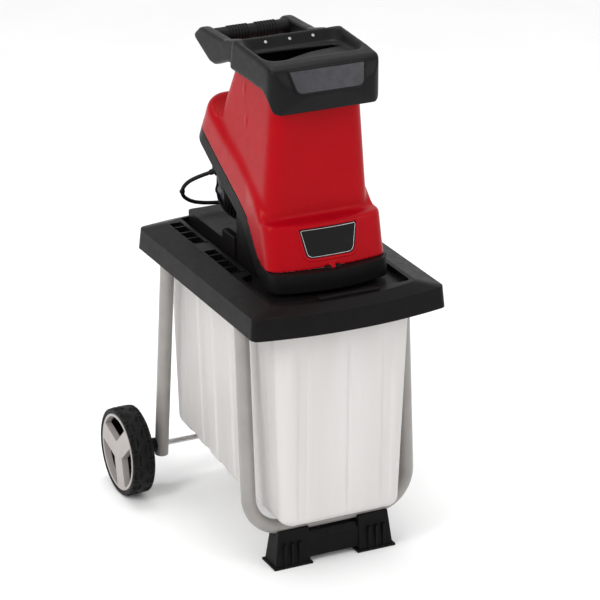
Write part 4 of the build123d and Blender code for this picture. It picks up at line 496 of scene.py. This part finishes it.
# ---------------------------------------------------------------- collection box
BOX_CORNER = 26 * MM
BOX_WALL = 2.5 * MM
BOX_FOOT_R = 16 * MM
FLANGE_T = 4 * MM
FLUTE = 2.6 * MM
FLOOR_RISE_Y = -0.045
FLOOR_RISE, FLOOR_RUN = 24 * MM, 0.289
FLANGE_OUT, FLANGE_OUT_ENDS = 8 * MM, 2 * MM
FLANGE_ROUND = 0.6 * MM
BOX_FOOT_IN = 21 * MM          # from the flange's side to the wall at the floor
FACE_LEAN = 6 * MM
# flutes on the long sides, as (middle y, half width) of each sunk band
SIDE_FLUTES = ((-0.165, 0.017), (-0.105, 0.019), (-0.045, 0.015), (0.020, 0.021), (0.085, 0.016),
               (0.145, 0.019))


def flute_depth(x, y, height, low_z, top_z):
    """How far the wall is pressed in at a place, as a share of the full flute."""
    run_out = smoothstep(0.0, 0.10, (height - low_z) / (top_z - low_z))
    run_out *= 1.0 - smoothstep(0.86, 0.95, (height - low_z) / (top_z - low_z))
    depth = 0.0
    if abs(x) > 0.098:
        for middle, half in SIDE_FLUTES:
            depth = max(depth, 1.0 - smoothstep(half - 0.0045, half, abs(y - middle)))
    elif y < 0:
        crease = 1.0 - smoothstep(0.0, 0.0035, abs(x - 0.006))
        bands = 1.0 - smoothstep(0.007, 0.012, abs(abs(x) - 0.078))
        depth = max(0.75 * crease, 0.8 * bands)
    else:
        depth = 1.0 - smoothstep(0.010, 0.015, abs(abs(x) - 0.045))
    return depth * run_out


def outline(turn, half, front, back, corner):
    """A point of a rounded rectangle, and the way out from it, at a share of its way round."""
    straight_x, straight_y = 2 * (half - corner), (back - front) - 2 * corner
    arc = math.pi * corner / 2
    runs = (straight_x, arc, straight_y, arc, straight_x, arc, straight_y, arc)
    along = (turn % 1.0) * sum(runs)
    corners = ((half - corner, front + corner), (half - corner, back - corner),
               (-half + corner, back - corner), (-half + corner, front + corner))
    starts = ((-half + corner, front), (half, front + corner), (half - corner, back),
              (-half, back - corner))
    ways = ((1, 0), (0, 1), (-1, 0), (0, -1))
    for k in range(4):
        if along <= runs[2 * k]:
            x, y = starts[k]
            way = ways[k]
            return (x + way[0] * along, y + way[1] * along, way[1], -way[0])
        along -= runs[2 * k]
        if along <= arc or k == 3:
            angle = -math.pi / 2 + k * math.pi / 2 + along / corner
            cx, cy = corners[k]
            return (cx + corner * math.cos(angle), cy + corner * math.sin(angle), math.cos(angle),
                    math.sin(angle))
        along -= arc


def make_box():
    """The collection box: a thin fluted tub with a turned-out rim and rounded foot."""
    low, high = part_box("collection_box")
    top_z, low_z = high[2], low[2]
    flange_half = high[0]
    half_top, half_low = flange_half - FLANGE_OUT, flange_half - BOX_FOOT_IN
    front, back = low[1] + FLANGE_OUT_ENDS, high[1] - FLANGE_OUT_ENDS
    rise = FLOOR_RISE / FLOOR_RUN
    around, side_rows, foot_rows = 620, 34, 9

    def wall_point(turn, height, inset):
        share = min(1.0, max(0.0, (height - low_z) / (top_z - low_z)))
        half = half_low + (half_top - half_low) * share
        face = front + FACE_LEAN * (1 - share)
        x, y, out_x, out_y = outline(turn, half, face, back, BOX_CORNER)
        depth = inset + FLUTE * flute_depth(x, y, height, low_z, top_z)
        return x - out_x * depth, y - out_y * depth, out_x, out_y

    def floor_z(y):
        return low_z + max(0.0, y - FLOOR_RISE_Y) * rise

    def skin(turn, inset):
        """One column of the shell, from the rim to the middle of the floor."""
        column = []
        x, y, out_x, out_y = wall_point(turn, top_z, inset)
        foot_z = floor_z(y) + BOX_FOOT_R
        for k in range(side_rows):
            height = top_z + (foot_z - top_z) * k / (side_rows - 1)
            x, y, out_x, out_y = wall_point(turn, height, inset)
            column.append((x, y, height))
        radius = BOX_FOOT_R - inset
        for k in range(1, foot_rows + 1):
            angle = math.pi / 2 * k / foot_rows
            column.append((x - out_x * radius * (1 - math.cos(angle)),
                           y - out_y * radius * (1 - math.cos(angle)),
                           foot_z - radius * math.sin(angle)))
        edge_x, edge_y, _ = column[-1]
        for share in (0.85, 0.65, 0.4, 0.15):
            x, y = edge_x * share, edge_y * share
            column.append((x, y, floor_z(y) + inset))
        return column

    def flange(turn):
        """The rim: out over the top, down its edge and back under to the wall."""
        x, y, out_x, out_y = outline(turn, half_top, front, back, BOX_CORNER)
        reach = FLANGE_OUT_ENDS + (FLANGE_OUT - FLANGE_OUT_ENDS) * smoothstep(0.0, 1.0, abs(out_x))
        return [(x + out_x * (reach - FLANGE_ROUND), y + out_y * (reach - FLANGE_ROUND), top_z),
                (x + out_x * reach, y + out_y * reach, top_z - FLANGE_ROUND),
                (x + out_x * reach, y + out_y * reach, top_z - FLANGE_T),
                (x + out_x * 0.2 * MM, y + out_y * 0.2 * MM, top_z - FLANGE_T)]

    columns = []
    for i in range(around):
        turn = i / around
        inner = skin(turn, BOX_WALL)
        outer = skin(turn, 0.0)
        outer[0] = flange(turn)[3]
        columns.append(inner[::-1] + flange(turn)[:3] + outer)
    mesh = grid_mesh("fluted_box", around, len(columns[0]), lambda i, j: columns[i][j], True, False)
    cap_ends(mesh)
    fix_normals(mesh)
    box = new_piece("fluted_box", mesh, BOX, "box")
    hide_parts("collection_box")


def cap_ends(mesh):
    """Closes the holes left in the middle of the floor."""
    shape = bmesh.new()
    shape.from_mesh(mesh)
    open_edges = [edge for edge in shape.edges if edge.is_boundary]
    bmesh.ops.holes_fill(shape, edges=open_edges, sides=0)
    shape.to_mesh(mesh)
    shape.free()


make_box()


# ---------------------------------------------------------------- cord
CORD_ROUTE = ((-72, 146, 600), (-99, 158, 590), (-113, 171, 572), (-109, 183, 551), (-87, 191, 534),
              (-60, 192.5, 527), (-33, 187.5, 525.5), (-9, 177, 527.5), (13, 170, 529))


def make_cord():
    curve = bpy.data.curves.new("lead", "CURVE")
    curve.dimensions = "3D"
    curve.bevel_depth = 3.5 * MM
    curve.bevel_resolution = 6
    curve.resolution_u = 24
    curve.use_fill_caps = True
    spline = curve.splines.new("NURBS")
    spline.points.add(len(CORD_ROUTE) - 1)
    for point, place in zip(spline.points, CORD_ROUTE):
        point.co = (*(Vector(place) * MM), 1.0)
    spline.order_u = 3
    spline.use_endpoint_u = True
    lead = bpy.data.objects.new("lead", curve)
    bpy.context.collection.objects.link(lead)
    curve.materials.append(JACKET)
    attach(lead, "base")
    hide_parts("power_cord")


make_cord()


# ---------------------------------------------------------------- stage
def stage():
    floor = bpy.data.meshes.new("floor")
    size = 12.0
    floor.from_pydata([(-size, -size, 0), (size, -size, 0), (size, size, 0), (-size, size, 0)], [],
                      [(0, 1, 2, 3)])
    material, tree, bsdf, coord = shader("studio_floor")
    speck = add_noise(tree, coord, 3.0, 2.0)
    tone = ramp(tree, speck.outputs["Fac"], grey(0.93), grey(0.95))
    tree.links.new(tone.outputs["Color"], bsdf.inputs["Base Color"])
    bsdf.inputs["Roughness"].default_value = 0.7
    bsdf.inputs["Specular IOR Level"].default_value = 0.1
    floor.materials.append(material)
    ground = bpy.data.objects.new("floor", floor)
    bpy.context.collection.objects.link(ground)
    world = bpy.data.worlds.new("studio")
    bpy.context.scene.world = world
    world.use_nodes = True
    world.node_tree.nodes["Background"].inputs["Color"].default_value = (1, 1, 1, 1)
    world.node_tree.nodes["Background"].inputs["Strength"].default_value = 0.90
    bpy.context.scene.view_settings.view_transform = "Standard"


def area_light(name, place, target, size, power):
    data = bpy.data.lights.new(name, "AREA")
    data.shape = "RECTANGLE"
    data.size, data.size_y = size
    data.energy = power
    light = bpy.data.objects.new(name, data)
    light.location = place
    light.rotation_euler = (Vector(place) - Vector(target)).to_track_quat("Z", "Y").to_euler()
    bpy.context.collection.objects.link(light)


AZIMUTH, ELEVATION = -25.8, 22.1
CAMERA_AT = (-2.0369, -4.2763, 2.3266)
LENS = 178.3


def camera():
    azimuth, elevation = math.radians(AZIMUTH), math.radians(ELEVATION)
    back = Vector((math.sin(azimuth) * math.cos(elevation), -math.cos(azimuth) * math.cos(elevation),
                   math.sin(elevation)))
    data = bpy.data.cameras.new("camera")
    data.lens = LENS
    data.sensor_width = 36.0
    data.clip_end = 100.0
    eye = bpy.data.objects.new("camera", data)
    eye.location = CAMERA_AT
    eye.rotation_euler = back.to_track_quat("Z", "Y").to_euler()
    bpy.context.collection.objects.link(eye)
    bpy.context.scene.camera = eye


stage()
camera()
area_light("key", (-2.4, -1.2, 2.4), (0, 0, 0.5), (0.8, 1.8), 46)
area_light("fill", (1.8, -2.6, 1.9), (0, 0, 0.5), (1.0, 1.6), 18)
area_light("top", (0.1, 0.4, 3.0), (0, 0, 0.6), (1.2, 0.8), 26)
